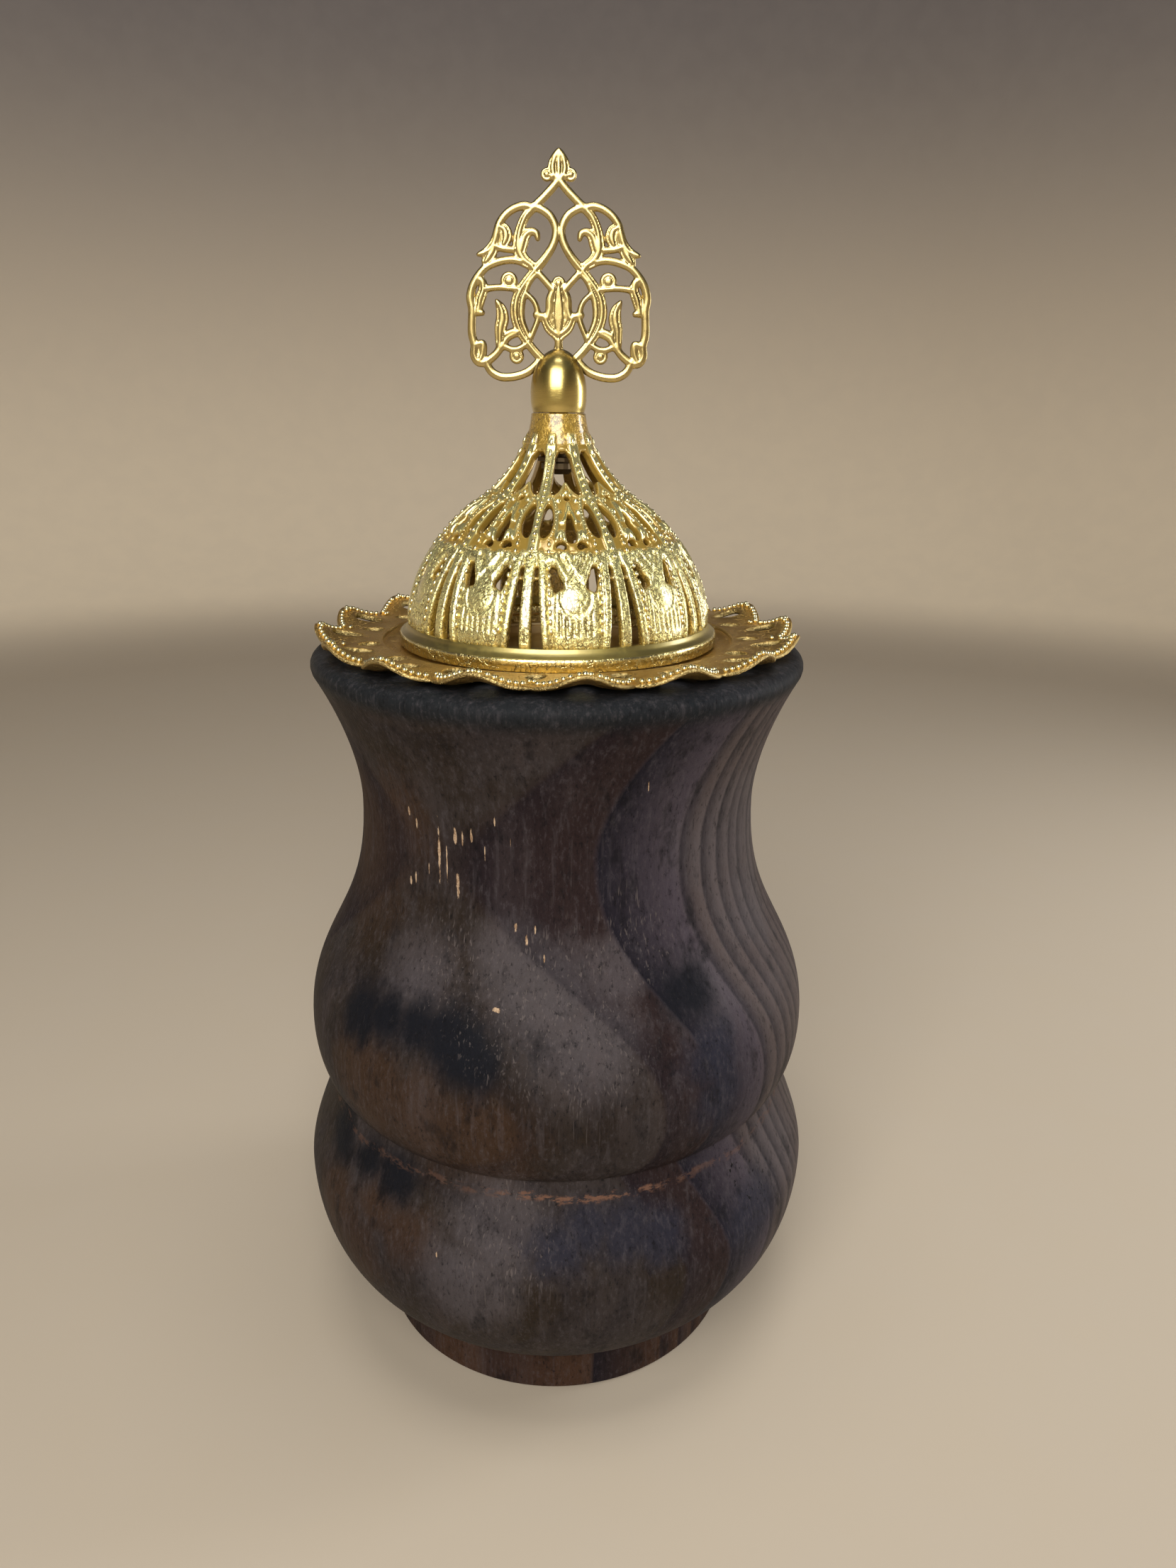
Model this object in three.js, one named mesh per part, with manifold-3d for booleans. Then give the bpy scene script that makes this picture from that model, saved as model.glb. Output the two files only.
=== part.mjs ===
// A wooden incense burner: a turned wooden body with a bored cup in its top, a scalloped metal tray that
// drops into the cup, a small ember dish in the tray's well, and a pierced dome lid that stands on the
// tray and carries a knob with a flat openwork crest. Millimetres, +Z up, the origin at the middle of the
// foot's underside, the crest's flat face towards -Y.
import * as THREE from 'three';
import { mergeVertices } from 'three/addons/utils/BufferGeometryUtils.js';
import Module from 'manifold-3d';

const wasm = await Module();
wasm.setup();

// Gap between pieces that touch, how far a cutter runs past what it cuts, and how near two points weld
const GAP = 0.3;
const OVERRUN = 2;
const WELD = 0.0005;

// Turned body: its whole height, the rise of each stretch from the foot up and the radius that it ends at
const BODY_HEIGHT = 127;
const FOOT_RADIUS = 33.6;
const FOOT_HEIGHT = 10.5;
const FOOT_CHAMFER = 0.6;
const LOWER_BULGE_RADIUS = 46.6;
const LOWER_BULGE_RISE = 22.1;
const GROOVE_RADIUS = 41;
const GROOVE_RISE = 17.7;
const UPPER_BULGE_RADIUS = 44.6;
const UPPER_BULGE_RISE = 11.2;
const WAIST_RADIUS = 33.7;
const WAIST_RISE = 39.9;
const RIM_RADIUS = 40.6;
const RIM_ROUNDING = 3;
const CUP_DEPTH = 31;

// Tray
const TRAY_RADIUS = 40;
const SCALLOP_DEPTH = 2.6;
const PETAL_LIFT = 2.2;
const TRAY_THICKNESS = 1.1;
const SEAT_DROP = 1;
const SEAT_MARGIN = 2.4;
const WELL_DEPTH = 4.4;
const WELL_DRAFT = 1.6;
const SHOULDER_WIDTH = 1;
const PETALS = 16;
const PETAL_PHASE = 7;

// Ember dish
const DISH_THICKNESS = 0.6;
const DISH_RIM_DROP = 1.2;

// Dome lid
const FLANGE_RADIUS = 26.2;
const FLANGE_HEIGHT = 1.8;
const FLANGE_THICKNESS = 1.3;
const LEDGE_WIDTH = 1.5;
const LEDGE_RISE = 1.5;
const SHOULDER_RISE = 18.2;
const SHOULDER_RADIUS = 14.3;
const NECK_RISE = 14.2;
const NECK_RADIUS = 4.3;
const DOME_WALL = 1.2;
const NECK_ROOF = 6.2;
const PANELS = 10;
const RIB_PHASE = -10;

// Knob, with the screw and washer that hold it on the neck
const KNOB_RADIUS = 4.4;
const KNOB_BASE_RADIUS = 4.15;
const KNOB_HEIGHT = 9.5;
const KNOB_SLOT_DEPTH = 4.1;
const SCREW_RADIUS = 1.5;
const SCREW_GRIP = 4;
const SCREW_HEAD_RADIUS = 2.7;
const SCREW_HEAD_HEIGHT = 1.7;
const SCREW_SLOT_WIDTH = 0.7;
const SCREW_SLOT_DEPTH = 0.8;
const WASHER_RADIUS = 3.3;
const WASHER_THICKNESS = 0.6;

// Crest
const CREST_HALF_WIDTH = 13.8;
const CREST_HEIGHT = 32;
const CREST_THICKNESS = 1.2;
const CREST_DIP = 4.8;
const STRAND_WIDTH = 0.9;
const TANG_HALF_WIDTH = 3.3;
const TANG_HEIGHT = 2;

// Sides of the round pieces, and steps of each curve
const BODY_SIDES = 40;
const DOME_SIDES = 40;
const SMALL_SIDES = 20;
const CURVE_STEPS = 4;
const STEPS_PER_PETAL = 4;
const DOT_SIDES = 10;

// Levels and radii that follow from the sizes above
const grooveZ = FOOT_HEIGHT + LOWER_BULGE_RISE + GROOVE_RISE;
const waistZ = grooveZ + UPPER_BULGE_RISE + WAIST_RISE;
const trayTop = BODY_HEIGHT + GAP + TRAY_THICKNESS;
const seatTop = trayTop - SEAT_DROP;
const seatRadius = FLANGE_RADIUS + SEAT_MARGIN;
const wellRadius = FLANGE_RADIUS - FLANGE_THICKNESS;
const wellFloor = seatTop - WELL_DEPTH;
const lidBottom = seatTop + GAP;
const ledgeTop = lidBottom + FLANGE_HEIGHT + LEDGE_RISE;
const domeRadius = FLANGE_RADIUS - LEDGE_WIDTH;
const domeHeight = SHOULDER_RISE + NECK_RISE;
const neckTop = ledgeTop + domeHeight;
const roofBottom = neckTop - NECK_ROOF;
const knobBottom = neckTop + GAP;
const knobTop = knobBottom + KNOB_HEIGHT;
const slotFloor = knobTop - KNOB_SLOT_DEPTH;
const crestBottom = knobTop - CREST_DIP;
const screwHole = SCREW_RADIUS + GAP;

/** The closed geometry as a solid that can be cut and joined. */
function solidOf(geometry) {
  const bare = geometry.index ? geometry.toNonIndexed() : geometry.clone();
  bare.deleteAttribute('normal');
  bare.deleteAttribute('uv');
  const merged = mergeVertices(bare, WELD);
  const corners = merged.index.array;
  const kept = [];
  for (let i = 0; i < corners.length; i += 3) {
    const [a, b, c] = [corners[i], corners[i + 1], corners[i + 2]];
    if (a !== b && b !== c && c !== a) kept.push(a, b, c);
  }
  const vertProperties = merged.attributes.position.array;
  return new wasm.Manifold(new wasm.Mesh({ numProp: 3, vertProperties, triVerts: new Uint32Array(kept) }));
}

/** The solid as a three.js geometry. */
function geometryOf(solid) {
  const mesh = solid.getMesh();
  const geometry = new THREE.BufferGeometry();
  geometry.setAttribute('position', new THREE.BufferAttribute(new Float32Array(mesh.vertProperties), 3));
  geometry.setIndex(new THREE.BufferAttribute(new Uint32Array(mesh.triVerts), 1));
  geometry.computeVertexNormals();
  return geometry;
}

/** A profile of [radius, height] points turned about the Z axis. */
function turned(profile, sides) {
  const points = profile.map(([r, z]) => new THREE.Vector2(r, z));
  return solidOf(new THREE.LatheGeometry(points, sides).rotateX(Math.PI / 2));
}

/** A plain round bar about the Z axis, from one height to another. */
function bar(radius, from, to, sides = SMALL_SIDES) {
  return turned([[0, from], [radius, from], [radius, to], [0, to]], sides);
}

/** Points along a cubic curve from a to d, with b and c its handles, without the first point. */
function curved(a, b, c, d, steps = CURVE_STEPS) {
  const curve = new THREE.CubicBezierCurve(...[a, b, c, d].map(([r, z]) => new THREE.Vector2(r, z)));
  return curve.getPoints(steps).slice(1).map((p) => [p.x, p.y]);
}

/** A block between two opposite corners. */
function block([x0, y0, z0], [x1, y1, z1]) {
  const geometry = new THREE.BoxGeometry(x1 - x0, y1 - y0, z1 - z0);
  return solidOf(geometry.translate((x0 + x1) / 2, (y0 + y1) / 2, (z0 + z1) / 2));
}

/** A direction about the Z axis, in degrees from the front (-Y) towards the right (+X). */
function heading(degrees) {
  const angle = THREE.MathUtils.degToRad(degrees);
  return [Math.sin(angle), -Math.cos(angle)];
}

/** A cutter through a wall around the Z axis: a convex outline of [degrees, height], from one radius out. */
function radialCutter(outline, inner, outer) {
  const ring = (radius) => outline.map(([degrees, z]) => {
    const [x, y] = heading(degrees);
    return [radius * x, radius * y, z];
  });
  const near = ring(inner);
  const far = ring(outer);
  const count = outline.length;
  const faces = [];
  for (let i = 1; i < count - 1; i++) {
    faces.push(far[0], far[i], far[i + 1]);
    faces.push(near[0], near[i + 1], near[i]);
  }
  for (let i = 0; i < count; i++) {
    const next = (i + 1) % count;
    faces.push(near[i], near[next], far[next]);
    faces.push(near[i], far[next], far[i]);
  }
  const geometry = new THREE.BufferGeometry();
  geometry.setAttribute('position', new THREE.Float32BufferAttribute(faces.flat(), 3));
  return solidOf(geometry);
}

// Turned wooden body

function bodySolid() {
  const foot = [FOOT_RADIUS, FOOT_HEIGHT];
  const lowerBulge = [LOWER_BULGE_RADIUS, FOOT_HEIGHT + LOWER_BULGE_RISE];
  const groove = [GROOVE_RADIUS, grooveZ];
  const upperBulge = [UPPER_BULGE_RADIUS, grooveZ + UPPER_BULGE_RISE];
  const waist = [WAIST_RADIUS, waistZ];
  const rim = [RIM_RADIUS, BODY_HEIGHT - RIM_ROUNDING];
  // A curve whose two handles are shares of the way across and up from its start to its end
  const stretch = (from, startShares, endShares, to, steps) => {
    const handle = ([across, up]) => [from[0] + across * (to[0] - from[0]), from[1] + up * (to[1] - from[1])];
    return curved(from, handle(startShares), handle(endShares), to, steps);
  };
  const wellOutside = wellRadius + TRAY_THICKNESS + GAP;
  const seatOutside = seatRadius + TRAY_THICKNESS / 2 + GAP;
  const seatStep = seatTop - TRAY_THICKNESS - GAP;
  const cupFloor = BODY_HEIGHT - CUP_DEPTH;
  return turned([
    [0, 0],
    [FOOT_RADIUS - FOOT_CHAMFER, 0],
    [FOOT_RADIUS, FOOT_CHAMFER],
    foot,
    ...stretch(foot, [0.6, 0.1], [1, 0.5], lowerBulge),
    ...stretch(lowerBulge, [0, 0.25], [0.7, 0.65], groove),
    ...stretch(groove, [0.45, 0.12], [1, 0.45], upperBulge),
    ...stretch(upperBulge, [0, 0.38], [1, 0.45], waist, CURVE_STEPS + 2),
    ...stretch(waist, [0, 0.35], [0.52, 0.74], rim),
    ...curved(
      rim,
      [RIM_RADIUS + RIM_ROUNDING / 4, BODY_HEIGHT - RIM_ROUNDING / 3],
      [RIM_RADIUS - RIM_ROUNDING / 3, BODY_HEIGHT],
      [RIM_RADIUS - RIM_ROUNDING, BODY_HEIGHT],
    ),
    [seatOutside, BODY_HEIGHT],
    [seatOutside, seatStep],
    [wellOutside, seatStep],
    [wellOutside, cupFloor + RIM_ROUNDING],
    [wellOutside - RIM_ROUNDING, cupFloor],
    [0, cupFloor],
  ], BODY_SIDES);
}

// Tray: its seat and well are round, and its petals rise to their tips

/** How much of a petal's tip a direction has: 1 at a tip, 0 between two petals. */
function tipShare(degrees) {
  const turn = ((degrees - PETAL_PHASE) * PETALS) / 360;
  return 1 - 2 * Math.abs(turn - Math.round(turn));
}

function trayProfile(degrees) {
  const tip = tipShare(degrees);
  const edge = TRAY_RADIUS - SCALLOP_DEPTH * (1 - Math.sin((tip * Math.PI) / 2));
  const lift = PETAL_LIFT * tip ** 1.5;
  const inner = seatRadius + SHOULDER_WIDTH;
  const middle = (inner + edge) / 2;
  const top = [
    [0, wellFloor],
    [wellRadius - WELL_DRAFT, wellFloor],
    [wellRadius, seatTop],
    [seatRadius, seatTop],
    [inner, trayTop],
    [middle, trayTop + lift * 0.3],
    [edge, trayTop + lift],
  ];
  const under = [
    [edge, trayTop + lift - TRAY_THICKNESS],
    [middle, trayTop + lift * 0.3 - TRAY_THICKNESS],
    [seatRadius + TRAY_THICKNESS / 2, trayTop - TRAY_THICKNESS],
    [seatRadius + TRAY_THICKNESS / 2, seatTop - TRAY_THICKNESS],
    [wellRadius + TRAY_THICKNESS, seatTop - TRAY_THICKNESS],
    [wellRadius - WELL_DRAFT + TRAY_THICKNESS, wellFloor - TRAY_THICKNESS],
    [0, wellFloor - TRAY_THICKNESS],
  ];
  return [...top, ...under];
}

/** A closed form whose profile, from axis to axis, changes with its direction about the Z axis. */
function swept(profileAt, sides, start) {
  const rings = Array.from({ length: sides }, (_, i) => {
    const degrees = start + (360 * i) / sides;
    const [x, y] = heading(degrees);
    return profileAt(degrees).map(([r, z]) => [r * x, r * y, z]);
  });
  const faces = [];
  rings.forEach((ring, i) => {
    const next = rings[(i + 1) % sides];
    for (let k = 0; k < ring.length - 1; k++) {
      faces.push(ring[k], next[k + 1], next[k]);
      faces.push(ring[k], ring[k + 1], next[k + 1]);
    }
  });
  const geometry = new THREE.BufferGeometry();
  geometry.setAttribute('position', new THREE.Float32BufferAttribute(faces.flat(), 3));
  return solidOf(geometry);
}

/** An upright cutter whose outline is [degrees, radius] points about the Z axis. */
function uprightCutter(outline, from, to) {
  const shape = new THREE.Shape(outline.map(([degrees, radius]) => {
    const [x, y] = heading(degrees);
    return new THREE.Vector2(radius * x, radius * y);
  }));
  const geometry = new THREE.ExtrudeGeometry(shape, { depth: to - from, bevelEnabled: false });
  return solidOf(geometry.translate(0, 0, from));
}

function traySolid() {
  const pitch = 360 / PETALS;
  const inner = seatRadius + SHOULDER_WIDTH;
  const band = TRAY_RADIUS - SCALLOP_DEPTH - inner;
  // Outlines as shares of a petal's pitch and of the band between the seat and the scallops
  const petalHoleShares = [[0, 0.2], [0.19, 0.74], [0.1, 1.04], [-0.1, 1.04], [-0.19, 0.74]];
  const leafHoleShares = [[0, 0.04], [0.1, 0.24], [0, 0.56], [-0.1, 0.24]];
  let tray = swept(trayProfile, PETALS * STEPS_PER_PETAL, PETAL_PHASE);
  const cut = (middle, shares) => {
    const outline = shares.map(([across, out]) => [middle + across * pitch, inner + out * band]);
    tray = tray.subtract(uprightCutter(outline, wellFloor, trayTop + PETAL_LIFT + OVERRUN));
  };
  for (let i = 0; i < PETALS; i++) {
    cut(PETAL_PHASE + i * pitch, petalHoleShares);
    cut(PETAL_PHASE + (i + 0.5) * pitch, leafHoleShares);
  }
  return tray;
}

function dishSolid() {
  const floor = wellFloor + GAP;
  const rim = seatTop - DISH_RIM_DROP;
  const wall = DISH_THICKNESS;
  const base = wellRadius - WELL_DRAFT - GAP;
  const lip = wellRadius - WELL_DRAFT * (seatTop - rim + wall) / WELL_DEPTH - GAP;
  return turned([
    [0, floor],
    [base - wall, floor],
    [base, floor + wall],
    [lip - wall, rim - wall],
    [lip, rim - wall],
    [lip, rim],
    [lip - 2 * wall, rim],
    [base - 2 * wall, floor + 2 * wall],
    [base - 3 * wall, floor + wall],
    [0, floor + wall],
  ], BODY_SIDES);
}

// Dome lid: an onion curve from the ledge to the neck, pierced in ten like sectors between ten ribs

function domeCurve(inset, steps) {
  const base = [domeRadius - inset, ledgeTop];
  const shoulder = [SHOULDER_RADIUS - inset * 0.7, ledgeTop + SHOULDER_RISE - inset * 0.7];
  const neck = [NECK_RADIUS - inset * 0.25, neckTop];
  const lean = 1.23;
  const pull = SHOULDER_RISE * 0.22;
  return {
    base,
    lower: curved(
      base,
      [base[0], ledgeTop + SHOULDER_RISE * 0.4],
      [shoulder[0] + lean * pull, shoulder[1] - pull],
      shoulder,
      steps,
    ),
    upper: curved(
      shoulder,
      [shoulder[0] - lean * pull * 0.85, shoulder[1] + pull * 0.85],
      [neck[0] + NECK_RISE * 0.09, neckTop - NECK_RISE * 0.35],
      neck,
      steps,
    ),
  };
}

function domeSolid() {
  const outside = domeCurve(0, CURVE_STEPS + 1);
  const inside = domeCurve(DOME_WALL, CURVE_STEPS);
  const flangeTop = lidBottom + FLANGE_HEIGHT;
  const hollow = [...inside.lower, ...inside.upper].filter(([, z]) => z < roofBottom - GAP);
  const underRoof = hollow[hollow.length - 1][0];
  let dome = turned([
    [0, neckTop],
    ...[...outside.lower, ...outside.upper].reverse(),
    outside.base,
    [FLANGE_RADIUS, flangeTop],
    [FLANGE_RADIUS, lidBottom],
    [FLANGE_RADIUS - FLANGE_THICKNESS, lidBottom],
    [FLANGE_RADIUS - FLANGE_THICKNESS, flangeTop - FLANGE_THICKNESS / 2],
    inside.base,
    ...hollow,
    [Math.max(underRoof - DOME_WALL / 2, WASHER_RADIUS + GAP), roofBottom],
    [0, roofBottom],
  ].reverse(), DOME_SIDES);
  // Outlines as shares of a sector, from one rib to the next, and of the dome's height above its ledge
  const slotShares = [[0.063, 0.012], [0.217, 0.012], [0.1, 0.35], [0.05, 0.35]];
  const eyeShares = [[0.314, 0.253], [0.398, 0.29], [0.34, 0.345], [0.25, 0.355]];
  const leafShares = [[0.13, 0.465], [0.25, 0.52], [0.18, 0.605], [0.09, 0.55]];
  const archShares = [[0.2, 0.665], [0.8, 0.665], [0.7, 0.83], [0.3, 0.83]];
  const ogiveShares = [[0.42, 0.485], [0.58, 0.485], [0.5, 0.575]];
  const sector = 360 / PANELS;
  const cut = (rib, shares, inner) => {
    const outline = shares.map(([across, up]) => [rib + across * sector, ledgeTop + up * domeHeight]);
    dome = dome.subtract(radialCutter(outline, inner, FLANGE_RADIUS + OVERRUN));
  };
  const mirrored = (shares) => shares.map(([across, up]) => [1 - across, up]).reverse();
  for (let i = 0; i < PANELS; i++) {
    const rib = RIB_PHASE + i * sector;
    for (const shares of [slotShares, eyeShares, leafShares]) {
      cut(rib, shares, NECK_RADIUS);
      cut(rib, mirrored(shares), NECK_RADIUS);
    }
    cut(rib, ogiveShares, NECK_RADIUS);
    cut(rib, archShares, NECK_RADIUS / 2);
  }
  return dome.subtract(bar(screwHole, roofBottom - OVERRUN, neckTop + OVERRUN));
}

// Knob and its fastening

function knobSolid() {
  const belly = knobBottom + KNOB_HEIGHT * 0.3;
  const whole = turned([
    [0, knobBottom],
    [KNOB_BASE_RADIUS, knobBottom],
    ...curved(
      [KNOB_BASE_RADIUS, knobBottom],
      [KNOB_RADIUS, knobBottom + KNOB_HEIGHT * 0.08],
      [KNOB_RADIUS, belly - KNOB_HEIGHT * 0.1],
      [KNOB_RADIUS, belly],
      3,
    ),
    ...curved(
      [KNOB_RADIUS, belly],
      [KNOB_RADIUS, belly + KNOB_HEIGHT * 0.4],
      [KNOB_RADIUS * 0.55, knobTop],
      [0, knobTop],
      7,
    ),
  ], SMALL_SIDES + 8);
  const slotHalf = CREST_THICKNESS / 2 + GAP;
  const slotEnd = KNOB_RADIUS + OVERRUN;
  return whole
    .subtract(block([-slotEnd, -slotHalf, slotFloor], [slotEnd, slotHalf, knobTop + OVERRUN]))
    .subtract(bar(screwHole, knobBottom - OVERRUN, knobBottom + SCREW_GRIP + GAP));
}

function washerSolid() {
  const top = roofBottom - GAP;
  const disc = bar(WASHER_RADIUS, top - WASHER_THICKNESS, top);
  return disc.subtract(bar(screwHole, top - WASHER_THICKNESS - OVERRUN, top + OVERRUN));
}

function screwSolid() {
  const headTop = roofBottom - 2 * GAP - WASHER_THICKNESS;
  const headBottom = headTop - SCREW_HEAD_HEIGHT;
  const head = turned([
    [0, headBottom],
    [SCREW_HEAD_RADIUS * 0.6, headBottom],
    [SCREW_HEAD_RADIUS, headBottom + SCREW_HEAD_HEIGHT * 0.5],
    [SCREW_HEAD_RADIUS, headTop],
    [SCREW_RADIUS, headTop],
    [SCREW_RADIUS, knobBottom + SCREW_GRIP - SCREW_RADIUS / 2],
    [SCREW_RADIUS / 2, knobBottom + SCREW_GRIP],
    [0, knobBottom + SCREW_GRIP],
  ], SMALL_SIDES);
  const slotHalf = SCREW_SLOT_WIDTH / 2;
  const slotEnd = SCREW_HEAD_RADIUS + OVERRUN;
  return head.subtract(block(
    [-slotEnd, -slotHalf, headBottom - OVERRUN],
    [slotEnd, slotHalf, headBottom + SCREW_SLOT_DEPTH],
  ));
}

// Crest: strands and dots drawn for its left half, as shares of its half width, of its height and of a
// strand's width; each point of a strand is [across from the middle, up, width]

const strandShares = {
  tipLeaf: [[0, 0.87, 0.6], [0.055, 0.895, 1.2], [0.065, 0.93, 1.25], [0.04, 0.965, 0.85], [0, 0.997, 0.25]],
  tipCore: [[0, 0.875, 0.8], [0, 0.93, 1.4], [0, 0.98, 0.7]],
  tipLink: [[0.125, 0.889, 0.8], [0.05, 0.886, 0.8]],
  stem: [
    [0, 0.873, 0.8], [0.075, 0.836, 0.95], [0.17, 0.796, 0.95], [0.265, 0.758, 1], [0.355, 0.721, 1.1],
    [0.41, 0.674, 1.2], [0.437, 0.626, 1.35], [0.435, 0.577, 1.5], [0.385, 0.536, 1.5], [0.29, 0.51, 1.1],
  ],
  loop: [
    [0.265, 0.76, 0.9], [0.17, 0.745, 0.95], [0.087, 0.718, 0.95], [0.035, 0.674, 0.9], [0.037, 0.632, 0.9],
    [0.076, 0.588, 0.95], [0.155, 0.539, 1.05], [0.243, 0.497, 1.15], [0.331, 0.455, 1.15],
    [0.411, 0.409, 1.25], [0.464, 0.363, 1.35], [0.48, 0.31, 1.4], [0.463, 0.26, 1.3], [0.408, 0.209, 1.2],
    [0.334, 0.166, 1.1], [0.26, 0.129, 1.1], [0.19, 0.1, 1.1],
  ],
  inner: [[0.24, 0.483, 0.6], [0.33, 0.435, 0.7], [0.4, 0.36, 0.8], [0.41, 0.275, 0.75], [0.33, 0.19, 0.6]],
  hook: [
    [0.38, 0.626, 0.8], [0.335, 0.646, 0.8], [0.264, 0.652, 0.75], [0.22, 0.641, 0.65], [0.218, 0.62, 0.45],
  ],
  arch: [
    [0.285, 0.755, 0.9], [0.372, 0.763, 0.95], [0.478, 0.752, 0.9], [0.574, 0.725, 0.9], [0.644, 0.687, 0.9],
    [0.674, 0.646, 0.95], [0.706, 0.605, 1.1], [0.777, 0.57, 1.1], [0.88, 0.555, 0.35],
  ],
  archLeaf: [[0.65, 0.674, 0.6], [0.582, 0.663, 1.2], [0.561, 0.632, 1.2], [0.6, 0.595, 0.6]],
  leafFoot: [[0.697, 0.612, 0.7], [0.715, 0.577, 1.35], [0.763, 0.546, 1.6], [0.796, 0.525, 1.1]],
  upperBar: [[0.697, 0.591, 0.7], [0.6, 0.581, 0.7], [0.46, 0.577, 0.7]],
  outerLoop: [
    [0.257, 0.487, 1], [0.323, 0.516, 1.1], [0.422, 0.53, 0.95], [0.546, 0.534, 0.85], [0.68, 0.523, 0.9],
    [0.796, 0.501, 0.9], [0.885, 0.462, 0.95], [0.949, 0.417, 1], [0.977, 0.367, 1], [0.96, 0.317, 0.95],
    [0.965, 0.267, 0.95], [0.967, 0.209, 1], [0.941, 0.158, 1], [0.945, 0.114, 1.1], [0.9, 0.084, 1.1],
    [0.818, 0.084, 1], [0.717, 0.114, 0.95], [0.635, 0.155, 0.85], [0.562, 0.195, 0.8], [0.46, 0.215, 0.75],
  ],
  spur: [
    [0.895, 0.455, 0.7], [0.841, 0.438, 0.95], [0.832, 0.402, 1.2], [0.869, 0.36, 1.35], [0.895, 0.304, 0.7],
  ],
  spurFoot: [[0.9, 0.304, 0.6], [0.85, 0.303, 0.6]],
  middleBar: [[0.84, 0.406, 0.8], [0.69, 0.414, 0.65], [0.545, 0.413, 0.65], [0.42, 0.404, 0.65]],
  feather: [
    [0.685, 0.356, 0.35], [0.635, 0.317, 1.4], [0.626, 0.274, 1.8], [0.649, 0.231, 1.6], [0.66, 0.15, 0.9],
  ],
  lowerBar: [[0.6, 0.205, 0.7], [0.508, 0.222, 0.7], [0.42, 0.218, 0.7]],
  crescent: [[0.61, 0.155, 0.7], [0.507, 0.14, 0.7], [0.416, 0.15, 0.7], [0.335, 0.176, 0.7]],
  cornerLeaf: [[0.94, 0.158, 0.6], [0.853, 0.166, 0.85], [0.854, 0.122, 1.1], [0.885, 0.09, 0.9]],
  lowerLoop: [
    [0.82, 0.088, 0.95], [0.763, 0.043, 1], [0.662, 0.018, 1], [0.542, 0.016, 1], [0.414, 0.028, 1],
    [0.313, 0.05, 1], [0.2, 0.095, 1],
  ],
  thread: [
    [0.36, 0.39, 0.5], [0.275, 0.356, 0.55], [0.238, 0.317, 0.6], [0.233, 0.274, 0.6], [0.32, 0.185, 0.6],
  ],
  budArm: [[0.22, 0.476, 0.8], [0.133, 0.438, 0.8], [0.05, 0.4, 0.9]],
  tulip: [[0.05, 0.409, 0.9], [0.095, 0.367, 1], [0.102, 0.317, 1], [0.128, 0.28, 0.9]],
  tulipCore: [[0, 0.425, 1.2], [0, 0.346, 2.7], [0, 0.28, 3.3]],
  cup: [[0.156, 0.285, 1.1], [0.1, 0.238, 1.4], [0, 0.206, 1.4]],
  cupCore: [[0, 0.285, 3.3], [0, 0.206, 1.7]],
  cupSide: [[0.25, 0.296, 0.75], [0.15, 0.286, 0.95]],
  foot: [[0, 0.21, 0.95], [0, 0.166, 0.95], [0, 0.13, 1.5]],
};
const dotShares = [[0.128, 0.892, 0.82], [0.546, 0.443, 1.25], [0.47, 0.111, 1.05], [0, 0.434, 0.95]];

/** A flat plate in the crest's plane with the outline given as [across, up] from the crest's foot. */
function crestPlate(outline) {
  const shape = new THREE.Shape(outline.map(([x, z]) => new THREE.Vector2(x, z)));
  const geometry = new THREE.ExtrudeGeometry(shape, { depth: CREST_THICKNESS, bevelEnabled: false });
  return solidOf(geometry.rotateX(Math.PI / 2).translate(0, CREST_THICKNESS / 2, crestBottom));
}

/** The outline of a strand: its smooth centre line with half its width on either side. */
function strandOutline(points) {
  const line = new THREE.SplineCurve(points.map(([x, z]) => new THREE.Vector2(x, z)));
  const spans = points.length - 1;
  const sides = [[], []];
  for (let i = 0; i <= spans; i++) {
    const at = line.getPoint(i / spans);
    const along = line.getTangent(i / spans);
    const half = points[i][2] / 2;
    sides[0].push([at.x - along.y * half, at.y + along.x * half]);
    sides[1].push([at.x + along.y * half, at.y - along.x * half]);
  }
  return [...sides[0], ...sides[1].reverse()];
}

function crestSolid() {
  const place = ([across, up, width], side) => [
    side * across * CREST_HALF_WIDTH,
    up * CREST_HEIGHT,
    width * STRAND_WIDTH,
  ];
  const tangTop = slotFloor + GAP + TANG_HEIGHT;
  let crest = block(
    [-TANG_HALF_WIDTH, -CREST_THICKNESS / 2, slotFloor + GAP],
    [TANG_HALF_WIDTH, CREST_THICKNESS / 2, tangTop],
  );
  for (const side of [-1, 1]) {
    for (const shares of Object.values(strandShares)) {
      const outline = strandOutline(shares.map((point) => place(point, side)));
      crest = crest.add(crestPlate(outline));
    }
    for (const shares of dotShares) {
      const [x, z, radius] = place(shares, side);
      const round = Array.from({ length: DOT_SIDES }, (_, i) => {
        const [across, down] = heading((360 * (i + 0.5)) / DOT_SIDES);
        return [x + radius * across, z - radius * down];
      });
      crest = crest.add(crestPlate(round));
    }
  }
  // Strands that cross leave slivers without a volume, so only the largest body is kept
  const [whole] = crest.decompose().sort((a, b) => b.volume() - a.volume());
  return whole;
}

// Materials and the assembly

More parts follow.
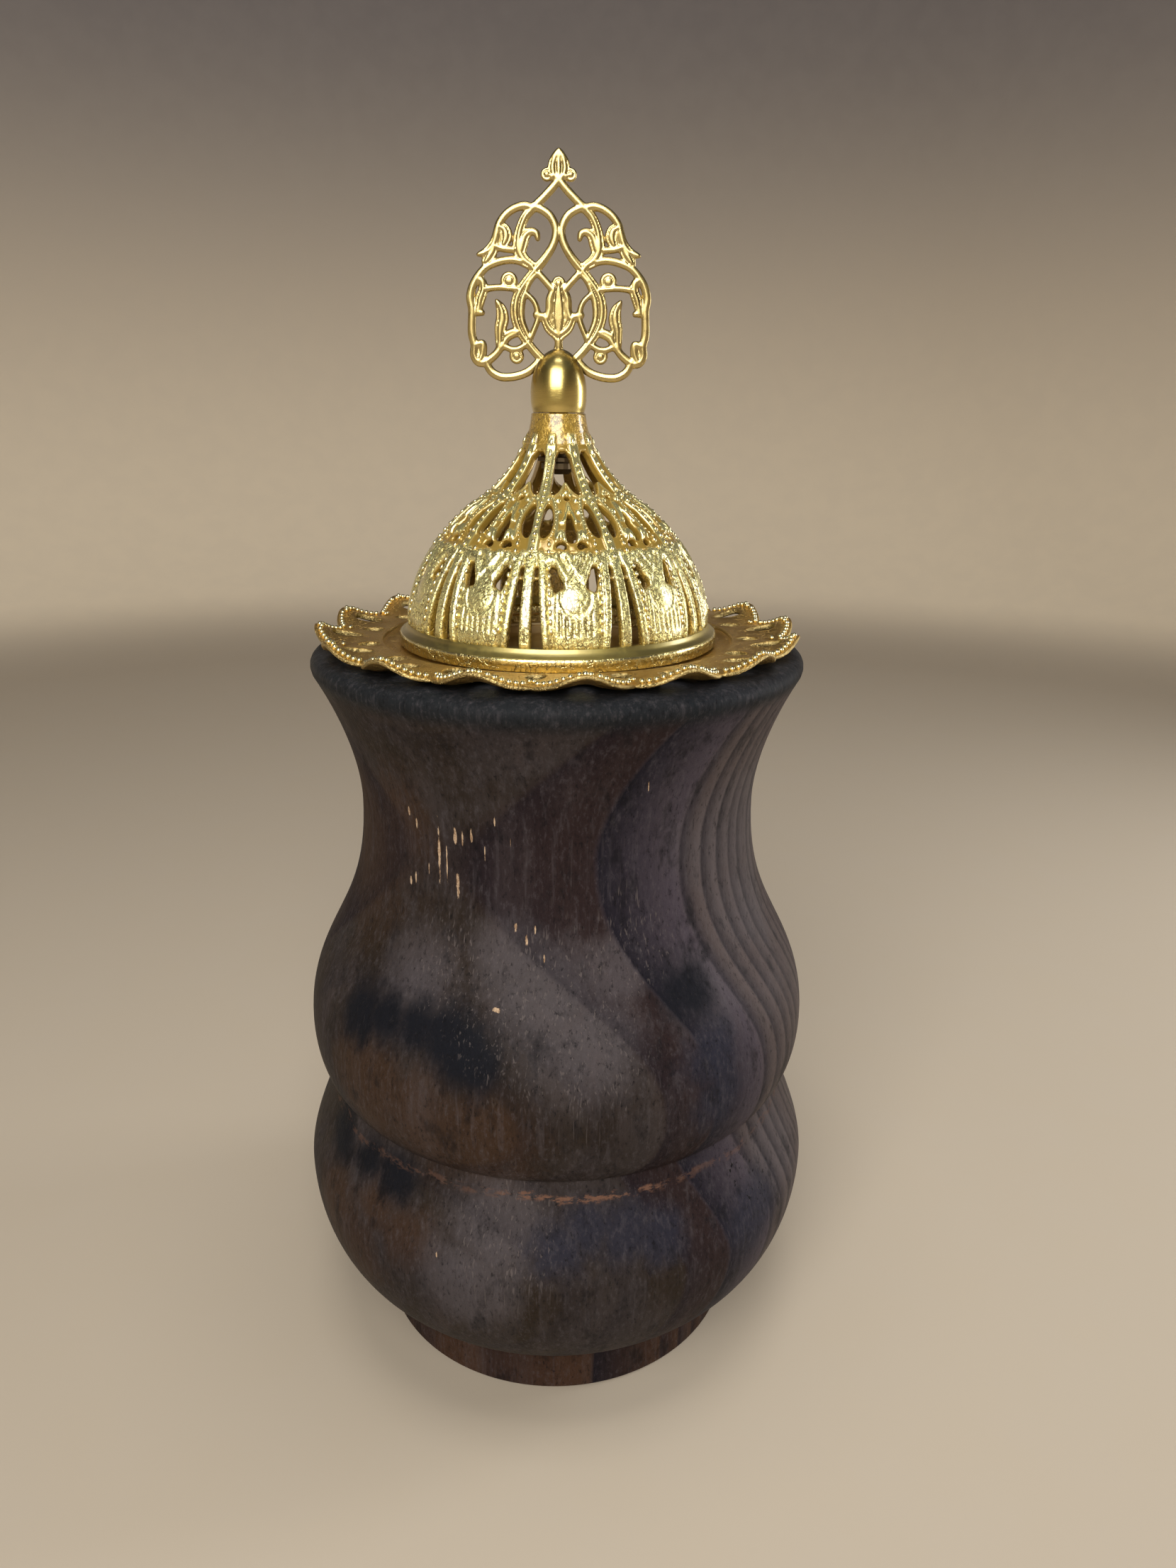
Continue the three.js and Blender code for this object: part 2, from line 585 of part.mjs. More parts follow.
const wood = new THREE.MeshStandardMaterial({ color: 0x2e2320, roughness: 0.55, metalness: 0 });
const brightGilt = new THREE.MeshStandardMaterial({ color: 0xd9b64a, roughness: 0.3, metalness: 1 });
const dullGilt = new THREE.MeshStandardMaterial({ color: 0xb08a45, roughness: 0.42, metalness: 1 });
const satinGilt = new THREE.MeshStandardMaterial({ color: 0xc9a542, roughness: 0.35, metalness: 1 });
const tin = new THREE.MeshStandardMaterial({ color: 0xb8b2a4, roughness: 0.45, metalness: 1 });
const steel = new THREE.MeshStandardMaterial({ color: 0x9a9a9c, roughness: 0.35, metalness: 1 });

const burner = new THREE.Group();

function piece(name, solid, material, parent) {
  const mesh = new THREE.Mesh(geometryOf(solid), material);
  mesh.name = name;
  parent.add(mesh);
}

const lid = new THREE.Group();
const finial = new THREE.Group();
burner.add(lid);
lid.add(finial);

piece('wood_body', bodySolid(), wood, burner);
piece('tray', traySolid(), dullGilt, burner);
piece('ember_dish', dishSolid(), tin, burner);
piece('dome_lid', domeSolid(), brightGilt, lid);
piece('finial_knob', knobSolid(), satinGilt, finial);
piece('finial_crest', crestSolid(), brightGilt, finial);
piece('finial_screw', screwSolid(), steel, finial);
piece('finial_washer', washerSolid(), steel, finial);

export default burner;
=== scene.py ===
"""The looks of a wooden incense burner: a turned and stained wooden body, a scalloped gilt tray, a tinned
ember dish, and a pierced gilt dome with a satin knob and a flat openwork crest.

Sizes are in millimetres, and mesh_object() turns them into metres. Headings are in degrees about the Z axis,
from the front (-Y) towards the right (+X). Tables whose names end in SHARES are drawn in shares of the sizes
that they follow."""
import math

import bmesh
import bpy
import numpy as np
from mathutils import Matrix, Vector


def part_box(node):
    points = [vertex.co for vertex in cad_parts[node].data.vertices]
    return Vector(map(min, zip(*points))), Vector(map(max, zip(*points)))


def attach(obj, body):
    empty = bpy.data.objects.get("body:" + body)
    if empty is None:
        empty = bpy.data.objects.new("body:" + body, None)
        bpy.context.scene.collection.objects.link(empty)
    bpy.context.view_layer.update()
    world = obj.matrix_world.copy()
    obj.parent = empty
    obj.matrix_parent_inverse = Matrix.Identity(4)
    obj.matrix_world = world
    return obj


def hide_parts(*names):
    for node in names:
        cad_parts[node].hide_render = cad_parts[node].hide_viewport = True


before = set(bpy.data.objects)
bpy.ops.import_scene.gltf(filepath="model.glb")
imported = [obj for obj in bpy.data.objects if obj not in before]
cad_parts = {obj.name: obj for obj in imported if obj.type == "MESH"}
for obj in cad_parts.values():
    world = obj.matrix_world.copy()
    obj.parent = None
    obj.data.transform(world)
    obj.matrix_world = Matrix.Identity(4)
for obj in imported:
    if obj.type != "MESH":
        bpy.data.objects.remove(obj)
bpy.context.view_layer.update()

MM = 0.001
FAR = 1e9
TINY = 1e-12
HASH_PRIMES = (73856093, 19349663, 83492791)


def low(node):
    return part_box(node)[0].z / MM


def high(node):
    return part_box(node)[1].z / MM


# Turned body: rise of each stretch and the radius that it ends at
FOOT_RADIUS = 33.6
FOOT_HEIGHT = 10.5
FOOT_CHAMFER = 0.6
LOWER_BULGE_RADIUS = 46.6
LOWER_BULGE_RISE = 22.1
GROOVE_RADIUS = 41
GROOVE_RISE = 17.7
UPPER_BULGE_RADIUS = 44.6
UPPER_BULGE_RISE = 11.2
WAIST_RADIUS = 33.7
WAIST_RISE = 39.9
RIM_RADIUS = 40.6
RIM_ROUNDING = 3
CUP_DEPTH = 31
BODY_TOP = high("wood_body")
BODY_SIDES = 288
CURVE_STEPS = 26

# Dome lid: ledge, onion curve, ten sectors between ten ribs
FLANGE_RADIUS = 26.2
FLANGE_HEIGHT = 1.8
FLANGE_THICKNESS = 1.3
LEDGE_WIDTH = 1.5
LEDGE_RISE = 1.5
SHOULDER_RISE = 18.2
SHOULDER_RADIUS = 14.3
NECK_RISE = 14.2
NECK_RADIUS = 4.3
BASE_PULL_SHARE = 0.4
SHOULDER_PULL_SHARE = 0.22
SHOULDER_LEAN = 1.23
UPPER_PULL_SHARES = (1.2, 0.9)
NECK_PULL_SHARES = (0.035, 0.4)
DOME_STEPS = 40
DOME_WALL = 1.2
SEAM = 0.14
PANELS = 10
RIB_PHASE = -10
LID_BOTTOM = low("dome_lid")
NECK_TOP = high("dome_lid")
LEDGE_TOP = LID_BOTTOM + FLANGE_HEIGHT + LEDGE_RISE
DOME_RADIUS = FLANGE_RADIUS - LEDGE_WIDTH
DOME_HEIGHT = NECK_TOP - LEDGE_TOP
SECTOR = 360 / PANELS
RING_SIDES = 360

# Tray: seat and well are round, petals rise to their tips
TRAY_RADIUS = 40
SCALLOP_DEPTH = 2.6
PETAL_LIFT = 2.2
TRAY_THICKNESS = 1.1
SEAT_DROP = 1
SEAT_MARGIN = 2.4
WELL_DEPTH = 4.4
WELL_DRAFT = 1.6
SHOULDER_WIDTH = 1
PETALS = 16
PETAL_PHASE = 7
TRAY_TOP = high("tray") - PETAL_LIFT
SEAT_TOP = TRAY_TOP - SEAT_DROP
SEAT_RADIUS = FLANGE_RADIUS + SEAT_MARGIN
WELL_RADIUS = FLANGE_RADIUS - FLANGE_THICKNESS
WELL_FLOOR = SEAT_TOP - WELL_DEPTH

# Ember dish
DISH_THICKNESS = 0.6
DISH_BOTTOM = low("ember_dish")
DISH_TOP = high("ember_dish")
FIT_GAP = 0.3

# Knob and crest
KNOB_RADIUS = 4.4
KNOB_BASE_RADIUS = 4.15
KNOB_SLOT_DEPTH = 4.1
KNOB_BOTTOM = low("finial_knob")
KNOB_TOP = high("finial_knob")
SCREW_HOLE_RADIUS = 1.8
SCREW_HOLE_DEPTH = 4.3
CREST_THICKNESS = 1.2
CREST_DIP = 4.8
CREST_HALF_WIDTH = 13.8
CREST_HEIGHT = 32
STRAND_WIDTH = 0.9
CREST_BOTTOM = KNOB_TOP - CREST_DIP
TANG_HALF_WIDTH = 3.3
TANG_BOTTOM = low("finial_crest")
TANG_HEIGHT = 2


def smoothstep(value, start, end):
    t = np.clip((value - start) / (end - start), 0, 1)
    return t * t * (3 - 2 * t)


def soft_least(a, b, radius):
    """The smaller of two fields, with the edge between them rounded."""
    near = np.clip(0.5 + 0.5 * (b - a) / radius, 0, 1)
    return b + (a - b) * near - radius * near * (1 - near)


def lattice_noise(points, size, seed):
    """Smooth random numbers from -1 to 1 at points, with lumps of about that size."""
    rng = np.random.default_rng(seed)
    table = rng.uniform(-1, 1, 4096)
    cell = np.floor(points / size).astype(np.int64)
    part = points / size - cell
    part = part * part * (3 - 2 * part)
    total = np.zeros(len(points))
    for corner in np.ndindex(2, 2, 2):
        at = cell + np.array(corner)
        mixed = np.bitwise_xor.reduce(at * np.array(HASH_PRIMES), axis=1)
        weight = np.prod(np.where(np.array(corner) == 1, part, 1 - part), axis=1)
        total += weight * table[mixed % len(table)]
    return total


def mesh_object(name, points, faces, crease=None):
    """A mesh object from points in millimetres. Edges sharper than crease degrees stay sharp."""
    mesh = bpy.data.meshes.new(name)
    places = (np.asarray(points, float) * MM).tolist()
    mesh.from_pydata(places, [], [list(map(int, face)) for face in faces])
    mesh.validate()
    mesh.shade_smooth()
    if crease:
        mesh.set_sharp_from_angle(angle=math.radians(crease))
    made = bpy.data.objects.new(name, mesh)
    bpy.context.scene.collection.objects.link(made)
    return made


def dress(piece, body, material, slot, *nodes):
    """Gives a piece its material and body, and hides the CAD nodes that it stands for. slot is not used."""
    piece.data.materials.append(material)
    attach(piece, body)
    if nodes:
        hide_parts(*nodes)
    return piece


def heading(degrees):
    angle = np.radians(degrees)
    return np.sin(angle), -np.cos(angle)


def turned(name, profile, sides, crease=35):
    """A profile of [radius, height] points turned about the Z axis. A closed body ends on the axis."""
    points = []
    rings = []
    x, y = heading(np.arange(sides) * 360 / sides)
    for radius, z in profile:
        if radius < TINY:
            rings.append([len(points)] * sides)
            points.append((0, 0, z))
        else:
            rings.append(list(range(len(points), len(points) + sides)))
            points.extend(zip(radius * x, radius * y, np.full(sides, z)))
    faces = []
    for lower, upper in zip(rings, rings[1:]):
        for i in range(sides):
            j = (i + 1) % sides
            corners = [lower[i], lower[j], upper[j], upper[i]]
            faces.append([c for k, c in enumerate(corners) if c != corners[k - 1]])
    return mesh_object(name, points, faces, crease)


def curved(a, b, c, d, steps=CURVE_STEPS):
    """Points along a cubic curve from a to d, with b and c its handles, without the first point."""
    t = np.linspace(0, 1, steps + 1)[1:, None]
    a, b, c, d = (np.array(p, float) for p in (a, b, c, d))
    line = (1 - t) ** 3 * a + 3 * (1 - t) ** 2 * t * b + 3 * (1 - t) * t * t * c + t**3 * d
    return [tuple(p) for p in line]


def surface_net(field, wrap=False):
    """Points in grid steps, and quads facing out, of the surface round the samples above zero.
    wrap joins the end of the first axis to its start."""
    if wrap:
        field = np.concatenate([field, field[:1]])
    cells = tuple(n - 1 for n in field.shape)
    total = np.zeros(cells + (3,))
    count = np.zeros(cells)
    corner = {}
    for c in np.ndindex(2, 2, 2):
        corner[c] = field[tuple(slice(c[k], c[k] + cells[k]) for k in range(3))]
    for start in corner:
        for axis in range(3):
            if start[axis]:
                continue
            end = tuple(c + (k == axis) for k, c in enumerate(start))
            a, b = corner[start], corner[end]
            crosses = (a > 0) != (b > 0)
            share = np.where(crosses, a / np.where(crosses, a - b, 1), 0)
            for k in range(3):
                total[..., k] += crosses * (start[k] + (share if k == axis else 0))
            count += crosses
    active = count > 0
    number = np.full(cells, -1)
    number[active] = np.arange(active.sum())
    points = np.argwhere(active) + total[active] / count[active][:, None]
    quads = []
    for axis, (u, v) in enumerate(((1, 2), (2, 0), (0, 1))):
        lower = [slice(0, n) for n in cells]
        for k in (u, v):
            if not (wrap and k == 0):
                lower[k] = slice(1, cells[k])
        upper = list(lower)
        upper[axis] = slice(1, cells[axis] + 1)
        a, b = field[tuple(lower)], field[tuple(upper)]
        out, back = (a > 0) & (b <= 0), (a <= 0) & (b > 0)
        base = np.array([s.start for s in lower])
        for which, order in ((out, (0, 1, 2, 3)), (back, (3, 2, 1, 0))):
            at = np.argwhere(which) + base
            ring = []
            for du, dv in ((-1, -1), (0, -1), (0, 0), (-1, 0)):
                cell = at.copy()
                cell[:, u] += du
                cell[:, v] += dv
                cell[:, 0] %= cells[0]
                ring.append(number[cell[:, 0], cell[:, 1], cell[:, 2]])
            quads.append(np.stack([ring[k] for k in order], axis=1))
    return points, np.concatenate(quads)


def roughened(points, faces, depth, size, seed):
    """Moves the points in and out along their normals, as on a rough casting."""
    corners = points[faces]
    normal = np.cross(corners[:, 2] - corners[:, 0], corners[:, 3] - corners[:, 1])
    total = np.zeros_like(points)
    for k in range(4):
        np.add.at(total, faces[:, k], normal)
    total /= np.maximum(np.linalg.norm(total, axis=1), TINY)[:, None]
    lumps = lattice_noise(points, size, seed) * 0.65 + lattice_noise(points, size / 2, seed + 1) * 0.35
    return points + total * (lumps * depth)[:, None]


def smooth_outline(outline, rounds=2):
    """Cuts the corners of a closed outline, again and again, until it is a smooth loop."""
    points = [np.array(p, float) for p in outline]
    for _ in range(rounds):
        cut = []
        for a, b in zip(points, points[1:] + points[:1]):
            cut.extend([a * 0.75 + b * 0.25, a * 0.25 + b * 0.75])
        points = cut
    return points


def line_distance(x, y, line, x_scale):
    """Distance from points x, y to an open line. Distances across are times x_scale."""
    far = np.full(np.broadcast(x, y).shape, FAR)
    placed = [((cx - x) * x_scale, cy - y) for cx, cy in line]
    for (x0, y0), (x1, y1) in zip(placed, placed[1:]):
        dx, dy = x1 - x0, y1 - y0
        t = np.clip(-(x0 * dx + y0 * dy) / np.maximum(dx * dx + dy * dy, TINY), 0, 1)
        far = np.minimum(far, np.hypot(x0 + t * dx, y0 + t * dy))
    return far


def outline_distance(x, y, outline, x_scale):
    """The same for a closed outline, positive outside it and negative inside."""
    closed = [*outline, outline[0]]
    far = line_distance(x, y, closed, x_scale)
    inside = np.zeros(far.shape, bool)
    placed = [((cx - x) * x_scale, cy - y) for cx, cy in closed]
    for (x0, y0), (x1, y1) in zip(placed, placed[1:]):
        crosses = (y0 > 0) != (y1 > 0)
        inside ^= crosses & (x0 - y0 * (x1 - x0) / np.where(crosses, y1 - y0, 1) > 0)
    return np.where(inside, -far, far)


def beads(name, grains):
    """Small raised grains as one mesh, each a (centre, (wide, long, high), (across, along, out)) ball."""
    shape = bmesh.new()
    bmesh.ops.create_icosphere(shape, subdivisions=2, radius=1)
    unit = np.array([v.co for v in shape.verts])
    corners = np.array([[v.index for v in f.verts] for f in shape.faces])
    shape.free()
    points = np.concatenate([centre + (unit * size) @ np.array(ways) for centre, size, ways in grains])
    faces = np.concatenate([corners + i * len(unit) for i in range(len(grains))])
    return mesh_object(name, points, faces)


# Procedural materials
LID_GOLD = (0.9, 0.83, 0.37)
# painted shade: a darker, browner gold for the dome's hollows, its inside and its upper ground
LID_HOLLOW_SHADE = (0.46, 0.29, 0.045)
# painted highlight: the flange's upright band is the lid's gilt, made a little paler
BAND_HIGHLIGHT_GOLD = (0.94, 0.84, 0.4)
# painted shade: the ledge is the lid's gilt, darkened
LEDGE_SHADE_GOLD = (0.42, 0.34, 0.09)
# painted highlight: the grains are the same gilt, made paler so they read as bright points
BEAD_HIGHLIGHT_GOLD = (0.98, 0.9, 0.52)
# the knob's own satin gilt, darkened as painted shade
KNOB_SHADED_GOLD = (0.6, 0.46, 0.12)
# painted shade: the crest is the lid's bright gilt, darkened
CREST_SHADED_GOLD = (0.51, 0.39, 0.13)
TRAY_GOLD = (0.7, 0.46, 0.15)
# painted highlight: paler gold for the tray's upright sides
TRAY_RIM_HIGHLIGHT_GOLD = (0.54, 0.41, 0.17)
LACQUER_IOR = 1.7
STEEL_GREY = (0.17, 0.13, 0.08)
TIN_LIGHT = (0.8, 0.64, 0.38)
TIN_DARK = (0.6, 0.43, 0.2)


def in_metres(values):
    return [value * MM for value in values]


class Shader:
    """A material under construction. Each method adds nodes and returns their output."""

    def __init__(self, name):
        self.material = bpy.data.materials.new(name)
        self.material.use_nodes = True
        self.nodes = self.material.node_tree.nodes
        self.links = self.material.node_tree.links
        self.nodes.clear()
        output = self.nodes.new("ShaderNodeOutputMaterial")
        self.surface = self.nodes.new("ShaderNodeBsdfPrincipled")
        self.links.new(self.surface.outputs[0], output.inputs["Surface"])
        self.place = self.nodes.new("ShaderNodeTexCoord").outputs["Object"]

    def feed(self, socket, value):
        if isinstance(value, bpy.types.NodeSocket):
            self.links.new(value, socket)
        else:
            socket.default_value = (*value, 1) if socket.type == "RGBA" else value

    def set(self, **values):
        for key, value in values.items():
            self.feed(self.surface.inputs[key.replace("_", " ").title().replace("Ior", "IOR")], value)

    def node(self, kind, inputs=(), output=0, **settings):
        made = self.nodes.new("ShaderNode" + kind)
        for key, value in settings.items():
            setattr(made, key, value)
        for key, value in dict(inputs).items():
            self.feed(made.inputs[key], value)
        return made.outputs[output]

    def maths(self, operation, a, b=0.0):
        return self.node("Math", {0: a, 1: b}, operation=operation)

    def plus(self, a, b):
        return self.maths("ADD", a, b)

    def minus(self, a, b):
        return self.maths("SUBTRACT", a, b)

    def times(self, a, b):
        return self.maths("MULTIPLY", a, b)

    def most(self, values):
        total = values[0]
        for value in values[1:]:
            total = self.maths("MAXIMUM", total, value)
        return total

    def vector(self, operation, a, b=(0, 0, 0)):
        return self.node("VectorMath", {0: a, 1: b}, operation=operation)

    def length(self, a):
        return self.node("VectorMath", {0: a}, 1, operation="LENGTH")

    def height(self):
        return self.node("SeparateXYZ", {0: self.place}, 2)

    def from_point(self, point):
        return self.vector("SUBTRACT", self.place, in_metres(point))

    def scaled(self, scale, rotation=(0, 0, 0), vector=None):
        inputs = {"Vector": vector or self.place, "Scale": scale, "Rotation": rotation}
        return self.node("Mapping", inputs)

    def noise(self, scale, detail, squeeze=None, roughness=0.5, distortion=0.0, vector=None, output=0):
        """Cloudy numbers from 0 to 1. With a squeeze below 1 they are drawn out upwards."""
        if squeeze:
            vector = self.scaled((1, 1, squeeze))
        inputs = {"Scale": scale, "Detail": detail, "Distortion": distortion, "Roughness": roughness}
        return self.node("TexNoise", {"Vector": vector or self.place, **inputs}, output)

    def step(self, value, start, end, low=0.0, high=1.0):
        inputs = {"Value": value, "From Min": start, "From Max": end, "To Min": low, "To Max": high}
        return self.node("MapRange", inputs, interpolation_type="SMOOTHSTEP")

    def mix(self, factor, a, b):
        made = self.nodes.new("ShaderNodeMix")
        made.data_type = "RGBA"
        colours = [s for s in made.inputs if s.type == "RGBA"]
        for socket, value in zip((made.inputs[0], *colours), (factor, a, b)):
            self.feed(socket, value)
        return next(s for s in made.outputs if s.type == "RGBA")

    def blob(self, centre, radius, wobble):
        """1 at a point in millimetres, and 0 further from it than radius, with an uneven edge."""
        reach = radius * MM
        uneven = self.plus(self.length(self.from_point(centre)), self.times(wobble, reach * 2.0))
        return self.step(uneven, reach * 1.45, reach * 0.4)

    def bump(self, height, strength, distance):
        return self.node("Bump", {"Height": height, "Strength": strength, "Distance": distance})


# Growth rings round the heart of the tree, which lies outside the turning: radius, fade and darkness of each
TREE_PLACE = (30, 50)
RING_WAVE = 1.8
RING_SPAN = (62, 110)
RINGS = [
    (66.6, 2.2, 0.7), (69.3, 2.2, 0.6), (72.2, 2.4, 0.75), (75.2, 2.4, 0.8), (78.4, 2.8, 0.75),
    (86.2, 7.4, 1.0), (91.7, 3.2, 0.5), (97.4, 3.0, 0.25), (100.6, 2.4, 0.3), (105.5, 2.6, 0.3),
]
FINE_RING_PITCH = 3.1
FINE_RING_EDGE = (65, 63.5)

# Stain colours with a painted shadow and a painted sheen among them, bands between growth rings, and patches
# of stain and of painted sheen: x, y, z and radius of each
WOOD_OLIVE = (0.0195, 0.0132, 0.0088)
WOOD_GREY = (0.034, 0.027, 0.026)
WOOD_UMBER = (0.022, 0.0135, 0.0135)
WOOD_MAUVE = (0.06, 0.048, 0.06)
WOOD_TAN = (0.084, 0.064, 0.062)
WOOD_BLACK = (0.0055, 0.0052, 0.0062)
RING_COLOUR = (0.0085, 0.0078, 0.0125)
BROWN_COLOUR = (0.043, 0.0235, 0.0145)
SMOKE_COLOUR = (0.0075, 0.0082, 0.0115)
BLUE_COLOUR = (0.021, 0.021, 0.032)
# pale grey of fibres and specks, and also of the painted sheen
ASH_AND_SHEEN_COLOUR = (0.1, 0.087, 0.094)
RUST_COLOUR = (0.15, 0.078, 0.052)
SCRATCH_COLOUR = (0.13, 0.108, 0.102)
BARE_COLOUR = (0.5, 0.36, 0.24)
TORN_COLOUR = (0.24, 0.15, 0.09)
# painted shadow: blue-black round the top of the body, under the tray's edge, from the heights below
RIM_SHADOW_COLOUR = (0.0125, 0.0145, 0.0165)
FOOT_COLOUR = (0.05, 0.026, 0.0165)
FOOT_EDGE = (11.5, 8.5)
RIM_SHADOW_EDGE = (121.5, 124.5)
WOOD_BANDS = [(92.3, 91.1, WOOD_UMBER), (86.6, 85.5, WOOD_MAUVE), (79.2, 76.5, WOOD_TAN)]
BROWN_PATCHES = [
    (-28, -33.5, 61, 10), (-20, -39, 59, 10), (-11, -42.5, 58, 9), (-32, -15, 99, 15), (-37, -28, 34, 8),
    (-33, -33, 31, 8), (-29, -34, 40, 6), (-24, -38, 37, 6), (20, 40, 70, 14), (-30, 33, 104, 12),
    (-24, -24, 105, 8),
]
SMOKE_PATCHES = [
    (-31, -29.5, 73.5, 5), (-26, -33, 75, 5), (-21, -35.5, 75, 5), (-16, -38, 74, 5), (-12.5, -40, 72, 5.5),
    (-36, -23, 45.5, 5), (-31, -29.6, 45.5, 5), (-25.5, -34, 45.5, 5), (21, -35, 80, 6), (-8, 42, 64, 6),
    (2, 42, 66, 6), (11, 41, 69, 5), (-38, 18, 41, 6), (-32, 28, 43, 5), (28, 20, 97, 5), (22, 26, 100, 5),
]
BLUE_PATCHES = [
    (6, -42.5, 43.5, 5), (12, -42, 42.5, 6), (17.5, -41.5, 41, 5), (1.5, -44.5, 40.5, 5), (34, -31, 36, 7),
    (25, -36, 69, 6), (26, -36, 62, 6), (40, 16, 38, 8),
]
# painted sheen: pale grey patches over scuffed stain, where the finish catches the light
ASH_AND_SHEEN_PATCHES = [
    (0, -38, 82, 9), (-6, -36, 87, 6), (6, -41, 75, 9), (9, -36, 84, 6), (-8, -43, 43, 8), (23, -33, 78, 7),
    (-22, -34, 82, 7), (38, -22, 43, 9), (-14, -45, 33, 8), (0, 36, 88, 12), (32, -13, 101, 10),
    (33, -18, 88, 9), (26, -23, 101, 8),
]
RUST_PLACE = (8, -41, 48)
RUST_RADIUS = 17
WORN_EDGES = [(46.9, 47.7), (48.7, 48.2)]
WORN_WAVE = 4
SCUFFED_PATCHES = [
    (1, -38, 80, 14), (8, -42, 70, 9), (-7, -44, 42, 10), (12, -36, 88, 8), (-16, -36, 84, 9),
]
PITTED_PATCHES = [(31, -30, 44.7, 4), (34, -29, 40.5, 3.5)]

# Where the stain is chipped off along the grain: x, y, z, half length and half width of each chip
CHIPS = [
    (-17.1, -29.2, 100.5, 4.4, 0.36), (-15.9, -29.8, 99.2, 2.6, 0.2), (-14.4, -30.6, 103.8, 1.4, 0.42),
    (-13.3, -31.1, 103.4, 1.1, 0.25), (-11.9, -31.7, 104.3, 1.2, 0.34), (-8.3, -33.4, 107.3, 0.9, 0.22),
    (-21.9, -26.2, 106, 0.9, 0.3), (-20.7, -26.9, 104.5, 0.8, 0.25), (-22.1, -26, 94.5, 0.7, 0.32),
    (-21.2, -26.6, 95.4, 1.0, 0.24), (-18.9, -28, 97.5, 0.9, 0.16), (-14.2, -30.9, 95.9, 1.8, 0.46),
    (-5.3, -34.2, 90.8, 0.7, 0.45), (-2.4, -34.7, 90.6, 0.8, 0.26), (-3.7, -35, 89, 0.9, 0.4),
    (-1, -35.9, 86.4, 0.8, 0.3), (-8.1, -38.4, 79, 0.36, 0.9), (14, -32.8, 112.7, 0.8, 0.14),
    (-9.9, -32.4, 102, 1.3, 0.14), (-6, -33.9, 104, 1.0, 0.12), (-18, -42, 37, 0.5, 0.3),
]
SCRATCH_TURNS = [52, -38, 14]
CHIP_THINNING = 0.56
CHIP_DEPTH = 3


